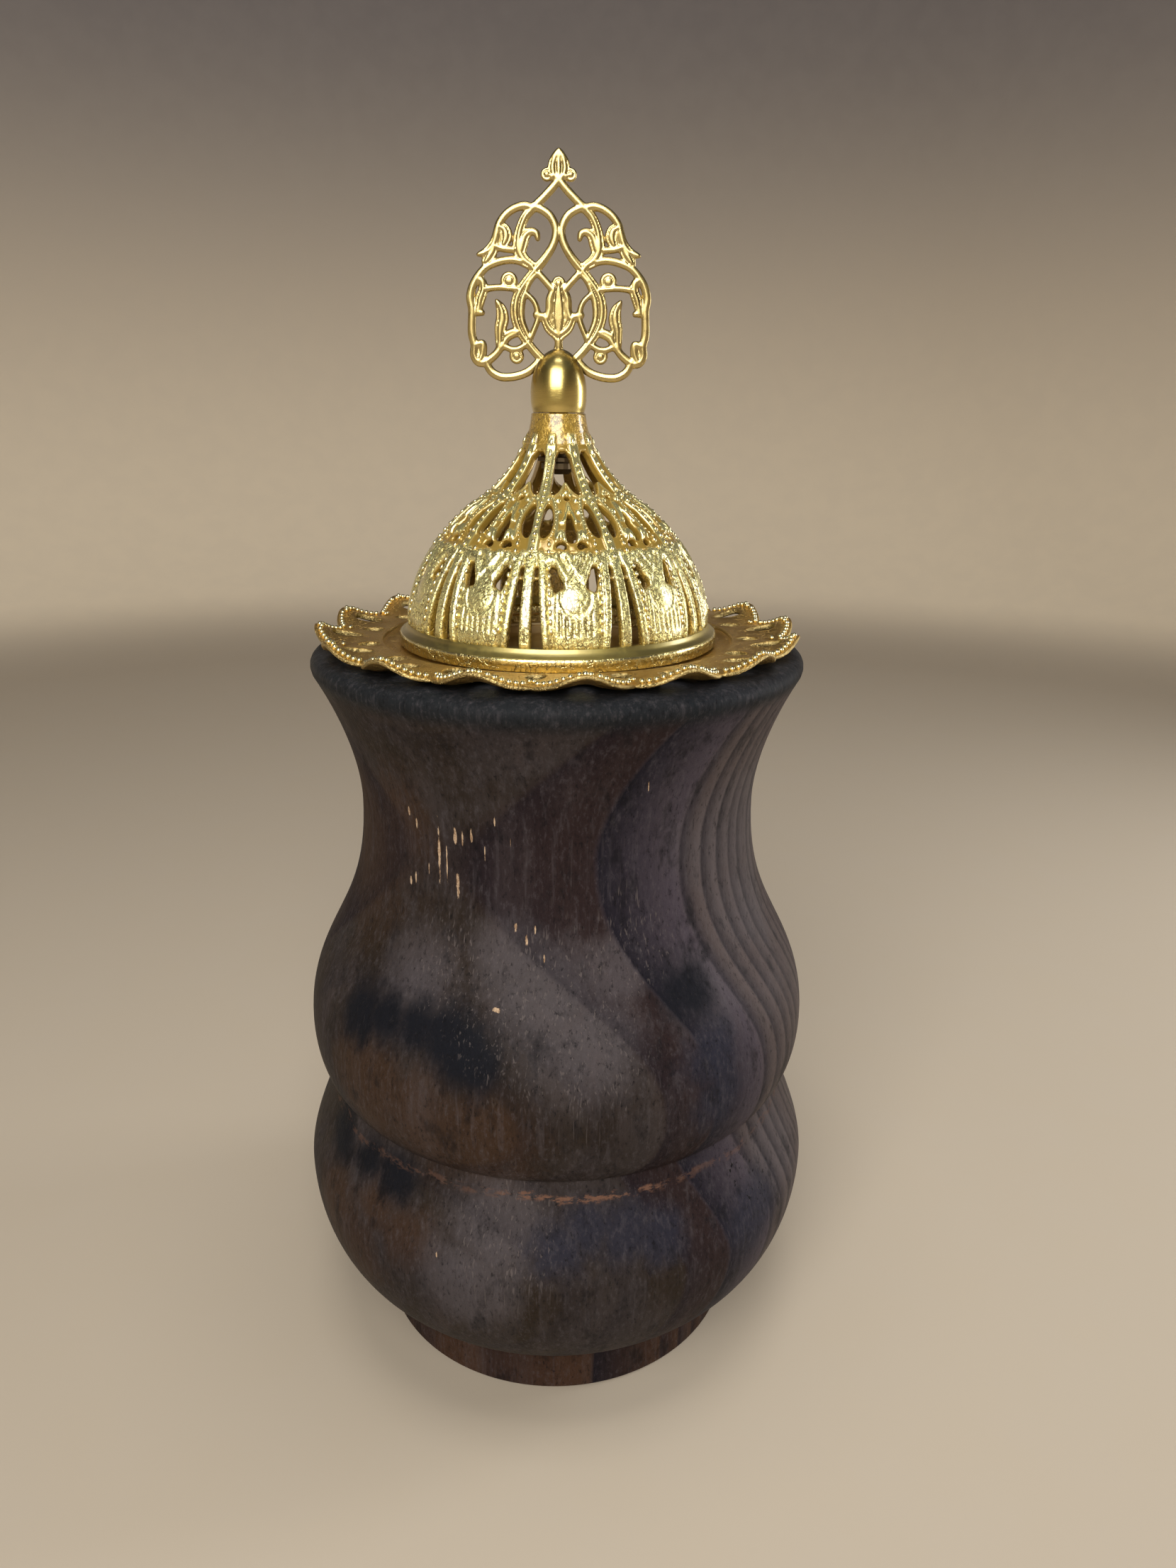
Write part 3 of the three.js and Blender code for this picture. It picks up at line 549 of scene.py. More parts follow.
class StainedWood(Shader):
    """Softwood under dark stain: a ground colour with one layer painted over the other."""

    def __init__(self):
        super().__init__("stained_wood")
        self.cloud = self.noise(60, 5, 0.6, 0.65)
        self.mottle = self.noise(260, 5, 0.5, 0.7)
        self.fibre = self.noise(950, 4, 0.06, 0.65)
        self.speck = self.noise(1500, 4, 0.45, 0.75)
        self.wobble = self.minus(self.plus(self.cloud, self.times(self.mottle, 0.6)), 0.8)
        self.away = self.from_tree()
        self.rings = self.maths("MAXIMUM", self.broad_rings(), self.fine_rings())
        self.ground = self.mix(self.step(self.cloud, 0.36, 0.64), WOOD_OLIVE, WOOD_GREY)

    def paint(self, share, tint):
        self.ground = self.mix(share, self.ground, tint)

    def patches(self, places):
        return self.most([self.blob(place, radius, self.wobble) for *place, radius in places])

    def from_tree(self):
        """Distance from the heart of the tree, a little bent."""
        bend = self.minus(self.noise(22, 2, 0.7), 0.5)
        flat = self.vector("MULTIPLY", self.from_point((*TREE_PLACE, 0)), (1, 1, 0))
        return self.plus(self.length(flat), self.times(bend, RING_WAVE * MM))

    def broad_rings(self):
        """Darkness just inside each growth ring: sharp on its outer side and faded on its inner one."""
        start, end = RING_SPAN
        share = self.node("MapRange", {"Value": self.away, "From Min": start * MM, "From Max": end * MM})
        ramp = self.nodes.new("ShaderNodeValToRGB")
        self.links.new(share, ramp.inputs[0])
        stops = ramp.color_ramp.elements
        stops[0].color = stops[1].color = (0, 0, 0, 1)
        for radius, fade, dark in RINGS:
            for back, level in ((fade, 0.0), (0.2, dark), (-0.12, 0.0)):
                stop = stops.new((radius - back - start) / (end - start))
                stop.color = (level, level, level, 1)
        return ramp.outputs[0]

    def fine_rings(self):
        turn = self.maths("FRACT", self.maths("DIVIDE", self.away, FINE_RING_PITCH * MM))
        near = self.step(self.away, *in_metres(FINE_RING_EDGE), 0, 0.6)
        return self.times(self.step(turn, 0.45, 0.97), near)

    def stain(self):
        """Olive in front of the rings, umber in the next band, then mauve and tan, and patches over them,
        with painted sheen among them and a painted shadow round the top under the tray.
        """
        for *edge, tint in WOOD_BANDS:
            self.paint(self.step(self.away, *in_metres(edge)), tint)
        self.paint(self.step(self.height(), *in_metres(FOOT_EDGE)), FOOT_COLOUR)
        self.paint(self.times(self.patches(BROWN_PATCHES), 0.8), BROWN_COLOUR)
        # painted sheen over scuffed stain
        self.paint(self.times(self.patches(ASH_AND_SHEEN_PATCHES), 0.5), ASH_AND_SHEEN_COLOUR)
        streak = self.noise(260, 3, 0.05, 0.55)
        self.paint(self.step(streak, 0.45, 0.8, 0, 0.26), WOOD_TAN)
        self.paint(self.times(self.rings, 0.92), RING_COLOUR)
        smoke = self.times(self.patches(SMOKE_PATCHES), 0.97)
        self.paint(smoke, SMOKE_COLOUR)
        self.paint(self.times(self.patches(BLUE_PATCHES), 0.85), BLUE_COLOUR)
        # painted shadow under the tray's edge, round the top of the body
        self.paint(self.step(self.height(), *in_metres(RIM_SHADOW_EDGE), 0, 0.92), RIM_SHADOW_COLOUR)
        clear = self.minus(1.0, smoke)
        for grain, start, end, share in ((self.fibre, 0.5, 0.72, 0.2), (self.speck, 0.52, 0.68, 0.24)):
            self.paint(self.times(self.step(grain, start, end, 0, share), clear), ASH_AND_SHEEN_COLOUR)
        self.paint(self.step(self.speck, 0.46, 0.3, 0, 0.7), WOOD_BLACK)
        self.paint(self.step(self.mottle, 0.48, 0.3, 0, 0.6), WOOD_BLACK)

    def wear_groove(self):
        """The groove's edge, where the stain is worn away in streaks."""
        at = self.plus(self.height(), self.times(self.wobble, WORN_WAVE * MM))
        from_below, from_above = (self.step(at, *in_metres(edge)) for edge in WORN_EDGES)
        worn = self.times(from_below, from_above)
        worn = self.times(worn, self.step(self.noise(420, 3, 2.5, 0.7), 0.46, 0.6))
        near = self.maths("MAXIMUM", self.blob(RUST_PLACE, RUST_RADIUS, self.wobble), 0.3)
        self.paint(self.times(worn, near), RUST_COLOUR)

    def scratch(self):
        """Fine pale scratches, most of them where the stain is scuffed."""
        scratches = []
        for turn in SCRATCH_TURNS:
            way = self.scaled((1, 1, 0.035), (0, math.radians(turn), 0))
            scratches.append(self.step(self.noise(2300, 1, distortion=0.5, vector=way), 0.66, 0.76))
        scuffed = self.step(self.patches(SCUFFED_PATCHES), 0, 1, 0.05, 0.5)
        self.paint(self.times(self.most(scratches), scuffed), SCRATCH_COLOUR)

    def chip(self, place, half_long, half_wide, wobble):
        """1 inside an upright sliver with ragged sides, and 0 outside it."""
        reach = in_metres((half_wide * CHIP_THINNING, CHIP_DEPTH, half_long))
        at = self.vector("MULTIPLY", self.from_point(place), [1 / r for r in reach])
        return self.step(self.plus(self.length(at), self.times(wobble, 2.4)), 1.05, 0.7)

    def chip_off(self):
        """Chips down to the bare wood, as a mask."""
        ragged = self.minus(self.noise(1400, 3, 0.4, 0.7), 0.5)
        chipped = self.most([self.chip(chip[:3], *chip[3:], ragged) for chip in CHIPS])
        self.paint(chipped, self.mix(self.step(self.speck, 0.4, 0.6), TORN_COLOUR, BARE_COLOUR))
        return chipped

    def pit(self):
        pits = self.step(self.noise(1100, 2), 0.62, 0.7)
        pits = self.times(pits, self.patches(PITTED_PATCHES))
        self.paint(pits, WOOD_BLACK)
        return pits

    def finish(self, chipped, pits):
        relief = self.plus(self.times(self.fibre, 0.6), self.times(self.mottle, 0.5))
        relief = self.plus(relief, self.times(self.speck, 0.7))
        for dent, share in ((self.rings, 0.3), (chipped, 0.5), (pits, 0.8)):
            relief = self.minus(relief, self.times(dent, share))
        sheen = self.plus(self.cloud, self.times(self.fibre, 0.4))
        self.set(base_color=self.ground, roughness=self.step(sheen, 0.4, 1.0, 0.42, 0.62))
        self.set(specular_ior_level=0.05, normal=self.bump(relief, 0.4, 0.0003))


def stained_wood():
    wood = StainedWood()
    wood.stain()
    wood.wear_groove()
    wood.scratch()
    chipped = wood.chip_off()
    wood.finish(chipped, wood.pit())
    return wood.material


HOLLOW_METAL = 0.5
RAISED_METAL = 0.88
WARM_SHARES = (0.96, 0.92, 0.85)
RUBBED_SHARES = (0.95, 0.9, 0.8)
CRACK_COLOUR = (0.2, 0.13, 0.03)
CRACK_SIZE = 0.8
CRACK_WANDER = 1.1


def tinted(base, shares):
    return [channel * share for channel, share in zip(base, shares)]


def thin_cracks(shader):
    """1 along a net of thin lines, in uneven patches, and 0 between them."""
    wander = shader.noise(900, 2, output=1)
    push = shader.node("VectorMath", {0: wander, 3: CRACK_WANDER * MM}, operation="SCALE")
    place = shader.scaled((1, 1, 0.6), vector=shader.vector("ADD", shader.place, push))
    inputs = {"Vector": place, "Scale": 1 / (CRACK_SIZE * MM)}
    edge = shader.node("TexVoronoi", inputs, feature="DISTANCE_TO_EDGE")
    return shader.times(shader.step(edge, 0.07, 0.015), shader.step(shader.noise(420, 2), 0.4, 0.56))


def cast_metal(name, base, roughness, grain, depth, cracks=0.0, hollow_shade=None, sides=None, lacquer=True):
    """Gilded casting: a lumpy skin, thin dark cracks where it is rough, painted shade in its hollows as a
    darker, less metallic colour, and a painted highlight colour on its upright sides."""
    shader = Shader(name)
    skin = shader.noise(grain, 3, roughness=0.6, distortion=0.6)
    ground = shader.mix(shader.step(shader.noise(90, 2), 0.3, 0.7), base, tinted(base, WARM_SHARES))
    metal = 1.0
    # painted shade: a darker, less metallic colour where the raised mask is low
    if hollow_shade:
        raised = shader.node("Attribute", output=2, attribute_name="raised")
        ground = shader.mix(raised, hollow_shade, ground)
        metal = shader.step(raised, 0, 1, HOLLOW_METAL, RAISED_METAL)
    # painted highlight: upright sides, found by their normal, get a colour of their own
    if sides:
        facing = shader.node("SeparateXYZ", {0: shader.node("NewGeometry", output=1)}, 2)
        upright = shader.step(shader.maths("ABSOLUTE", facing), 0.75, 0.4)
        ground = shader.mix(upright, ground, sides)
    height = skin
    if cracks:
        crack = thin_cracks(shader)
        ground = shader.mix(shader.times(crack, cracks), ground, CRACK_COLOUR)
        height = shader.minus(skin, shader.times(crack, 0.7))
    rough = shader.step(skin, 0.25, 0.75, roughness - 0.05, roughness + 0.08)
    shader.set(base_color=ground, metallic=metal, roughness=rough, normal=shader.bump(height, 0.8, depth))
    if lacquer:
        lacquered(shader, roughness)
    return shader.material


def lacquered(shader, roughness):
    shader.set(coat_weight=1.0, coat_ior=LACQUER_IOR, coat_roughness=roughness * 0.7)


def satin_metal(name, base, roughness):
    """Smooth metal rubbed round and round: very fine marks and no pits."""
    shader = Shader(name)
    rubbed = shader.noise(700, 2, 9)
    cloud = shader.noise(160, 2)
    shader.set(base_color=shader.mix(cloud, base, tinted(base, RUBBED_SHARES)), metallic=1.0)
    shader.set(roughness=shader.step(cloud, 0.3, 0.7, roughness - 0.04, roughness + 0.05))
    shader.set(normal=shader.bump(rubbed, 0.12, 0.0001))
    return shader


# Turned body


def body_profile():
    foot = (FOOT_RADIUS, FOOT_HEIGHT)
    lower_bulge = (LOWER_BULGE_RADIUS, foot[1] + LOWER_BULGE_RISE)
    groove = (GROOVE_RADIUS, lower_bulge[1] + GROOVE_RISE)
    upper_bulge = (UPPER_BULGE_RADIUS, groove[1] + UPPER_BULGE_RISE)
    waist = (WAIST_RADIUS, upper_bulge[1] + WAIST_RISE)
    rim = (RIM_RADIUS, BODY_TOP - RIM_ROUNDING)

    def stretch(start, start_shares, end_shares, end):
        def handle(shares):
            return tuple(s + share * (e - s) for s, e, share in zip(start, end, shares))

        return curved(start, handle(start_shares), handle(end_shares), end)

    well_outside = WELL_RADIUS + TRAY_THICKNESS + FIT_GAP
    seat_outside = SEAT_RADIUS + TRAY_THICKNESS / 2 + FIT_GAP
    seat_step = SEAT_TOP - TRAY_THICKNESS - FIT_GAP
    cup_floor = BODY_TOP - CUP_DEPTH
    return [
        (0, 0),
        (FOOT_RADIUS - FOOT_CHAMFER, 0),
        (FOOT_RADIUS, FOOT_CHAMFER),
        foot,
        *stretch(foot, (0.6, 0.1), (1, 0.5), lower_bulge),
        *stretch(lower_bulge, (0, 0.25), (0.7, 0.65), groove),
        *stretch(groove, (0.45, 0.12), (1, 0.45), upper_bulge),
        *stretch(upper_bulge, (0, 0.38), (1, 0.45), waist),
        *stretch(waist, (0, 0.35), (0.52, 0.74), rim),
        *curved(
            rim,
            (RIM_RADIUS + RIM_ROUNDING / 4, BODY_TOP - RIM_ROUNDING / 3),
            (RIM_RADIUS - RIM_ROUNDING / 3, BODY_TOP),
            (RIM_RADIUS - RIM_ROUNDING, BODY_TOP),
            8,
        ),
        (seat_outside, BODY_TOP),
        (seat_outside, seat_step),
        (well_outside, seat_step),
        (well_outside, cup_floor + RIM_ROUNDING),
        (well_outside - RIM_ROUNDING, cup_floor),
        (0, cup_floor),
    ]


def make_body():
    body = turned("turned_body", body_profile(), BODY_SIDES)
    dress(body, "base", stained_wood(), "wood", "wood_body")


# Shells: a profile line with a field of samples around it, along the heading, the line and its normal


class Shell:
    def __init__(self, line, step):
        """line: (radius, height) points of the outer face, which lies on the line's right."""
        line = np.array(line, float)
        along = np.concatenate([[0], np.cumsum(np.linalg.norm(np.diff(line, axis=0), axis=1))])
        self.along_line = along
        self.line = line
        self.length = along[-1]
        self.step = step

    def at(self, s):
        """Radius and height of the line at distance s along it, run straight on past its ends."""
        r = np.interp(s, self.along_line, self.line[:, 0])
        z = np.interp(s, self.along_line, self.line[:, 1])
        for end, near, sign in ((0, 1, -1), (-1, -2, 1)):
            way = self.line[end] - self.line[near]
            way /= np.linalg.norm(way)
            past = np.maximum(0, sign * (s - self.along_line[end]))
            r = r + past * way[0]
            z = z + past * way[1]
        return r, z

    def place(self, degrees, s, n):
        """Points in space at a heading, a distance along the line and a height above it."""
        r0, z0 = self.at(s - self.step)
        r1, z1 = self.at(s + self.step)
        long = np.hypot(r1 - r0, z1 - z0)
        r, z = self.at(s)
        r = r + n * (z1 - z0) / long
        z = z - n * (r1 - r0) / long
        x, y = heading(degrees)
        return np.stack([r * x, r * y, z], axis=-1)

    def reach(self, share):
        """Distance along the dome's line at a share of its height, also a little below its foot."""
        rise = share * DOME_HEIGHT
        return float(np.interp(LEDGE_TOP + rise, self.line[:, 1], self.along_line)) + min(0, rise)


def dome_line():
    base = (DOME_RADIUS, LEDGE_TOP)
    shoulder = (SHOULDER_RADIUS, LEDGE_TOP + SHOULDER_RISE)
    neck = (NECK_RADIUS, NECK_TOP)
    pull = SHOULDER_RISE * SHOULDER_PULL_SHARE
    lean = pull * SHOULDER_LEAN
    lower = curved(
        base,
        (base[0], LEDGE_TOP + SHOULDER_RISE * BASE_PULL_SHARE),
        (shoulder[0] + lean, shoulder[1] - pull),
        shoulder,
        DOME_STEPS,
    )
    upper = curved(
        shoulder,
        (shoulder[0] - lean * UPPER_PULL_SHARES[0], shoulder[1] + pull * UPPER_PULL_SHARES[1]),
        (neck[0] + NECK_RISE * NECK_PULL_SHARES[0], neck[1] - NECK_RISE * NECK_PULL_SHARES[1]),
        neck,
        DOME_STEPS,
    )
    return [base, *lower, *upper]


# The dome's openings: outlines as shares of a sector, from one rib to the next, and of its height
SLOT_SHARES = [(0.064, -0.05), (0.184, -0.05), (0.11, 0.295), (0.058, 0.295)]
KEYHOLE_SHARES = [(0.062, 0.312), (0.111, 0.312), (0.098, 0.347), (0.062, 0.347)]
EYE_SHARES = [
    (0.213, 0.35), (0.294, 0.35), (0.325, 0.311), (0.398, 0.271), (0.339, 0.254), (0.281, 0.241),
    (0.25, 0.282),
]
SPRIG_SHARES = [(0.282, 0.425), (0.33, 0.432), (0.405, 0.42), (0.438, 0.435), (0.4, 0.452), (0.32, 0.452)]
LEAF_SHARES = [
    (0.056, 0.48), (0.12, 0.465), (0.2, 0.485), (0.246, 0.53), (0.225, 0.575), (0.16, 0.607),
    (0.088, 0.595), (0.066, 0.54),
]
OGIVE_SHARES = [(0.425, 0.46), (0.5, 0.445), (0.575, 0.46), (0.57, 0.51), (0.5, 0.578), (0.43, 0.51)]
ARCH_SHARES = [
    (0.14, 0.652), (0.2, 0.641), (0.34, 0.66), (0.5, 0.708), (0.66, 0.66), (0.8, 0.641), (0.86, 0.652),
    (0.84, 0.73), (0.77, 0.832), (0.23, 0.832), (0.16, 0.73),
]
CUT_SHARES = [SLOT_SHARES, KEYHOLE_SHARES]
ROUNDED_SHARES = [EYE_SHARES, SPRIG_SHARES, LEAF_SHARES, OGIVE_SHARES, ARCH_SHARES]
ROSE_SHARE = (0.5, 0.627)
ROSE_RADIUS = 0.4

# Across each sector's lower part: the slot's outer edge, a plain strip, a chain of grains, and the fluted
# panel with its heart. Pairs of shares of the height say where a part fades in or out.
SLOT_EDGE_SHARES = [(0.168, 0.0), (0.1, 0.34), (0.068, 0.43)]
LOW_END_SHARES = (0.385, 0.41)
STRIP_WIDTH = 1.2
STRIP_HEIGHT = 0.28
RIB_REACH = (0.6, 0.95)
RIB_HEIGHT = 0.2
CHAIN_OFFSET = 1.6
PANEL_OFFSET = 2.0
PANEL_HEIGHT = 0.18
PANEL_END_SHARES = (0.28, 0.4)
FLUTES = 16
FLUTE_DEPTH = 0.34
FLUTE_WIDTH = 0.27
FLUTE_START_SHARES = (0.045, 0.075)
HEART_SHARES = [
    (0.5, 0.15), (0.43, 0.156), (0.375, 0.185), (0.355, 0.225), (0.385, 0.262), (0.445, 0.29), (0.5, 0.315),
    (0.6, 0.315), (0.6, 0.15),
]
HEART_HEIGHT = 0.14
HEART_CROWN = 0.14
HEART_GROOVE = 0.5
HEART_GROOVE_PLACE = 0.2
HEART_GROOVE_WIDTH = 0.16
BORDER_HEIGHT = 0.14
BORDER_REACH = (0.2, 0.5)
BORDER_START_SHARES = (0.45, 0.48)
BORDER_END_SHARES = (0.84, 0.88)

# The dome's raised lines, in the same shares, with their half width and height in millimetres
CROSS_LOW_SHARES = [(0.385, 0.276), (0.44, 0.31), (0.5, 0.342)]
CROSS_HIGH_SHARES = [(0.5, 0.342), (0.455, 0.37), (0.42, 0.4)]
BROW_SHARES = [(0.2, 0.372), (0.29, 0.375), (0.35, 0.34), (0.42, 0.3)]
HORN_SHARES = [(0.31, 0.465), (0.355, 0.49), (0.395, 0.478), (0.405, 0.45)]
RAFTER_SHARES = [(0.405, 0.53), (0.45, 0.565), (0.5, 0.604)]
STEM_SHARES = [(0.29, 0.47), (0.3, 0.53), (0.29, 0.58), (0.22, 0.62), (0.14, 0.632)]
TIP_SHARES = [(0.22, 0.627), (0.36, 0.646), (0.44, 0.672), (0.5, 0.697)]
RAISED_LINES = [
    (CROSS_LOW_SHARES, 0.3, 0.3), (CROSS_HIGH_SHARES, 0.38, 0.38), (BROW_SHARES, 0.42, 0.42),
    (HORN_SHARES, 0.36, 0.42), (RAFTER_SHARES, 0.24, 0.42), (STEM_SHARES, 0.26, 0.22),
    (TIP_SHARES, 0.22, 0.12),
]

# Its bosses: place in the same shares, radius and height in millimetres
BOSSES = [
    (0.108, 0.4, 0.62, 0.42), (0.215, 0.385, 0.6, 0.45), (0.3, 0.395, 0.55, 0.42), (0.385, 0.4, 0.5, 0.4),
    (0.47, 0.39, 0.45, 0.4), (0.394, 0.475, 0.55, 0.5), (0.333, 0.57, 0.5, 0.46), (0.12, 0.622, 0.4, 0.38),
    (0.317, 0.617, 0.45, 0.42), (0.42, 0.64, 0.32, 0.32), (0.5, 0.652, 0.4, 0.36), (0.37, 0.53, 0.35, 0.35),
]

# The dome is made in three bands, which overlap a little where they meet
TIER_SHARE = 0.412
NECK_SHARE = 0.87
BAND_OVERLAP = 0.45
FOOT_OVERLAP = 0.2
NECK_WALL = 2.2
FACE_ROUNDING = 0.45
BACK_ROUNDING = 0.3
LUMP_SIZE = 0.8

# Rows of grains: from and to as shares of the dome's height, the sizes (wide, long, high) of the first and
# the last grain, the gap between two, and how high their middles stand
RIB_ROWS = [
    (0.385, 0.8, (0.34, 0.44, 0.3), (0.26, 0.38, 0.26), 0.46, 0.24),
    (0.82, 0.91, (0.28, 0.72, 0.26), (0.26, 0.7, 0.24), 0.45, 0.22),
]
CHAIN_ROW = (0.075, 0.44, (0.3, 0.5, 0.26), (0.3, 0.44, 0.26), 0.4, 0.1)
LEAF_ROW = (0.455, 0.65, (0.16, 0.2, 0.16), (0.13, 0.16, 0.14), 0.34, 0.14)

# How far the grains round the leaf openings lie from the rib, in millimetres, at shares of the dome's height
LEAF_CHAIN = [(0.45, 0.5, 0.54, 0.6, 0.65), (2.2, 2.75, 2.8, 2.1, 1.1)]


def sampled(line, steps=5):
    """A smooth line through the points, ends included."""
    points = np.array(line, float)
    before = np.concatenate([2 * points[:1] - points[1:2], points[:-1]])
    after = np.concatenate([points[1:], 2 * points[-1:] - points[-2:-1]])
    tangent = (after - before) / 2
    made = [points[0]]
    for i in range(len(points) - 1):
        for t in np.linspace(0, 1, steps + 1)[1:]:
            made.append(
                (2 * t**3 - 3 * t**2 + 1) * points[i]
                + (t**3 - 2 * t**2 + t) * tangent[i]
                + (3 * t**2 - 2 * t**3) * points[i + 1]
                + (t**3 - t**2) * tangent[i + 1]
            )
    return made


def slot_edge(up, wide):
    """Distance from a rib's middle to the outer edge of the slot beside it."""
    across, height = np.array(SLOT_EDGE_SHARES).T
    return np.interp(up, height, across) * wide


def lower_relief(across, up, wide, heart):
    """Strips, panels, flutes and hearts of the dome's lower part. heart: distance to the heart's outline."""
    beyond = across * wide - slot_edge(up, wide)
    low_part = 1 - smoothstep(up, *LOW_END_SHARES)
    strip = smoothstep(beyond, -0.05, 0.12) * (1 - smoothstep(beyond, STRIP_WIDTH - 0.15, STRIP_WIDTH))
    rib = 1 - smoothstep(across * wide, *RIB_REACH)
    face = np.maximum(STRIP_HEIGHT * strip * low_part, RIB_HEIGHT * rib)
    panel = smoothstep(beyond, PANEL_OFFSET - 0.15, PANEL_OFFSET + 0.05)
    panel = panel * (1 - smoothstep(up, *PANEL_END_SHARES))
    from_groove = np.abs(np.mod((across - 0.5) * FLUTES, 1) - 0.5) * wide / FLUTES
    fluted = panel * smoothstep(heart, 0.75, 0.95) * smoothstep(up, *FLUTE_START_SHARES)
    face = face + PANEL_HEIGHT * panel
    face = face - FLUTE_DEPTH * fluted * (1 - smoothstep(from_groove, 0.02, FLUTE_WIDTH))
    groove = np.exp(-(((heart - HEART_GROOVE_PLACE) / HEART_GROOVE_WIDTH) ** 2))
    face = face - HEART_GROOVE * low_part * groove
    in_heart = (1 - smoothstep(heart, -0.12, 0.02)) * low_part
    return face * (1 - in_heart) + (HEART_HEIGHT + HEART_CROWN * smoothstep(-heart, 0, 1.7)) * in_heart


def dome_pattern(shell, across, s):
    """How far inside the metal each place of a sector is, and how high its face stands there."""
    across = np.minimum(across, 1 - across)[:, None]
    radius, z = shell.at(s)
    wide = (np.radians(SECTOR) * radius)[None, :]
    s = s[None, :]
    up = ((z - LEDGE_TOP) / DOME_HEIGHT)[None, :]

    def placed(shares):
        return [(a, shell.reach(u)) for a, u in shares]

    inside = np.full((across.shape[0], s.shape[1]), FAR)
    outlines = [placed(shares) for shares in CUT_SHARES]
    outlines += [smooth_outline(placed(shares), 1) for shares in ROUNDED_SHARES]
    for outline in outlines:
        inside = np.minimum(inside, outline_distance(across, s, outline, wide))
    rose = placed([ROSE_SHARE])[0]
    inside = np.minimum(inside, np.hypot((across - rose[0]) * wide, s - rose[1]) - ROSE_RADIUS)
    heart = outline_distance(across, s, smooth_outline(placed(HEART_SHARES), 2), wide)
    face = lower_relief(across, up, wide, heart)
    for shares, half, height in RAISED_LINES:
        far = line_distance(across, s, sampled(placed(shares)), wide)
        face = np.maximum(face, height * (1 - smoothstep(far, half * 0.3, half * 1.5)))
    for a, u, size, height in BOSSES:
        far = np.hypot((across - a) * wide, s - shell.reach(u))
        face = np.maximum(face, height * np.sqrt(np.clip(1 - (far / size) ** 2, 0, 1)))
    border = BORDER_HEIGHT * (1 - smoothstep(inside, *BORDER_REACH))
    border = border * smoothstep(up, *BORDER_START_SHARES) * (1 - smoothstep(up, *BORDER_END_SHARES))
    return inside, face + border


def neck_pattern(shell, across, s):
    """The cast neck: no openings, and ribs that fade out below its top."""
    from_rib = np.minimum(across, 1 - across)[:, None]
    ridge = 0.24 * (1 - smoothstep(from_rib, 0.1, 0.24))
    fade = 1 - smoothstep(s, shell.length - 3.6, shell.length - 2.4)
    face = ridge * fade[None, :]
    return np.full(face.shape, FAR), face


def raised_share(up, above):
    """1 on the raised ornament and 0 in the hollows, which get painted shade. The plain ground counts as
    raised low down only, so higher up it gets the painted shade too.
    """
    start = -0.15 + 0.17 * smoothstep(up, 0.36, 0.44)
    return smoothstep(above, start, start + 0.26)


def set_attribute(mesh, name, kind, domain, values):
    mesh.attributes.new(name, kind, domain).data.foreach_set("value", values)


def dome_piece(shell, name, s_from, s_to, around, step, wall, material, pattern, lumps, seed):
    """One band of the dome as a mesh, from one distance along its line to another."""
    s = np.arange(s_from - 2 * step, s_to + 2.5 * step, step)
    n = np.arange(-wall - 0.6, 1.3, step)
    per_sector = around // PANELS
    inside, face = pattern(shell, np.arange(per_sector) / per_sector, s)
    band = np.minimum(s - s_from, s_to - s)
    field = soft_least(inside[:, :, None], face[:, :, None] - n, FACE_ROUNDING)
    field = soft_least(field, np.broadcast_to(n + wall, field.shape), BACK_ROUNDING)
    field = np.minimum(field, band[None, :, None])
    points, faces = surface_net(np.tile(field, (PANELS, 1, 1)), wrap=True)
    degrees = RIB_PHASE + points[:, 0] * 360 / (per_sector * PANELS)
    along = s[0] + points[:, 1] * step
    above = n[0] + points[:, 2] * step
    placed = roughened(shell.place(degrees, along, above), faces, lumps, LUMP_SIZE, seed)
    piece = mesh_object(name, placed, faces)
    cut = np.minimum(np.abs(along - s_from), np.abs(along - s_to)) < step * 0.45
    ends = np.empty(len(piece.data.edges) * 2, np.int32)
    piece.data.edges.foreach_get("vertices", ends)
    set_attribute(piece.data, "sharp_edge", "BOOLEAN", "EDGE", cut[ends].reshape(-1, 2).all(axis=1))
    # mask for the painted shade: 0 in the hollows, on the inside and on the upper ground
    raised = raised_share((shell.at(along)[1] - LEDGE_TOP) / DOME_HEIGHT, above)
    set_attribute(piece.data, "raised", "FLOAT", "POINT", raised.astype(np.float32))
    return dress(piece, "lid", material, "gilt_bright", "dome_lid")


def make_dome():
    rough = cast_metal("gilt_casting", LID_GOLD, 0.24, 1500, 0.00026, cracks=0.75, hollow_shade=LID_HOLLOW_SHADE)
    smooth = cast_metal("gilt_tracery", LID_GOLD, 0.2, 1100, 0.00004, hollow_shade=LID_HOLLOW_SHADE)
    shell = Shell(dome_line(), 0.27)
    tier = shell.reach(TIER_SHARE)
    neck = shell.reach(NECK_SHARE)
    top = shell.length + SEAM
    parts = [
        ("dome_panels", -FOOT_OVERLAP, tier, 880, 0.325, DOME_WALL, rough, dome_pattern, 0.01, 11),
        ("dome_tracery", tier - BAND_OVERLAP, neck, 590, 0.27, DOME_WALL, smooth, dome_pattern, 0.01, 11),
        ("dome_neck", neck - BAND_OVERLAP, top, 200, 0.24, NECK_WALL, rough, neck_pattern, 0.04, 13),
    ]
    for part in parts:
        dome_piece(shell, *part)
    make_flange()
    make_dome_beads(shell)


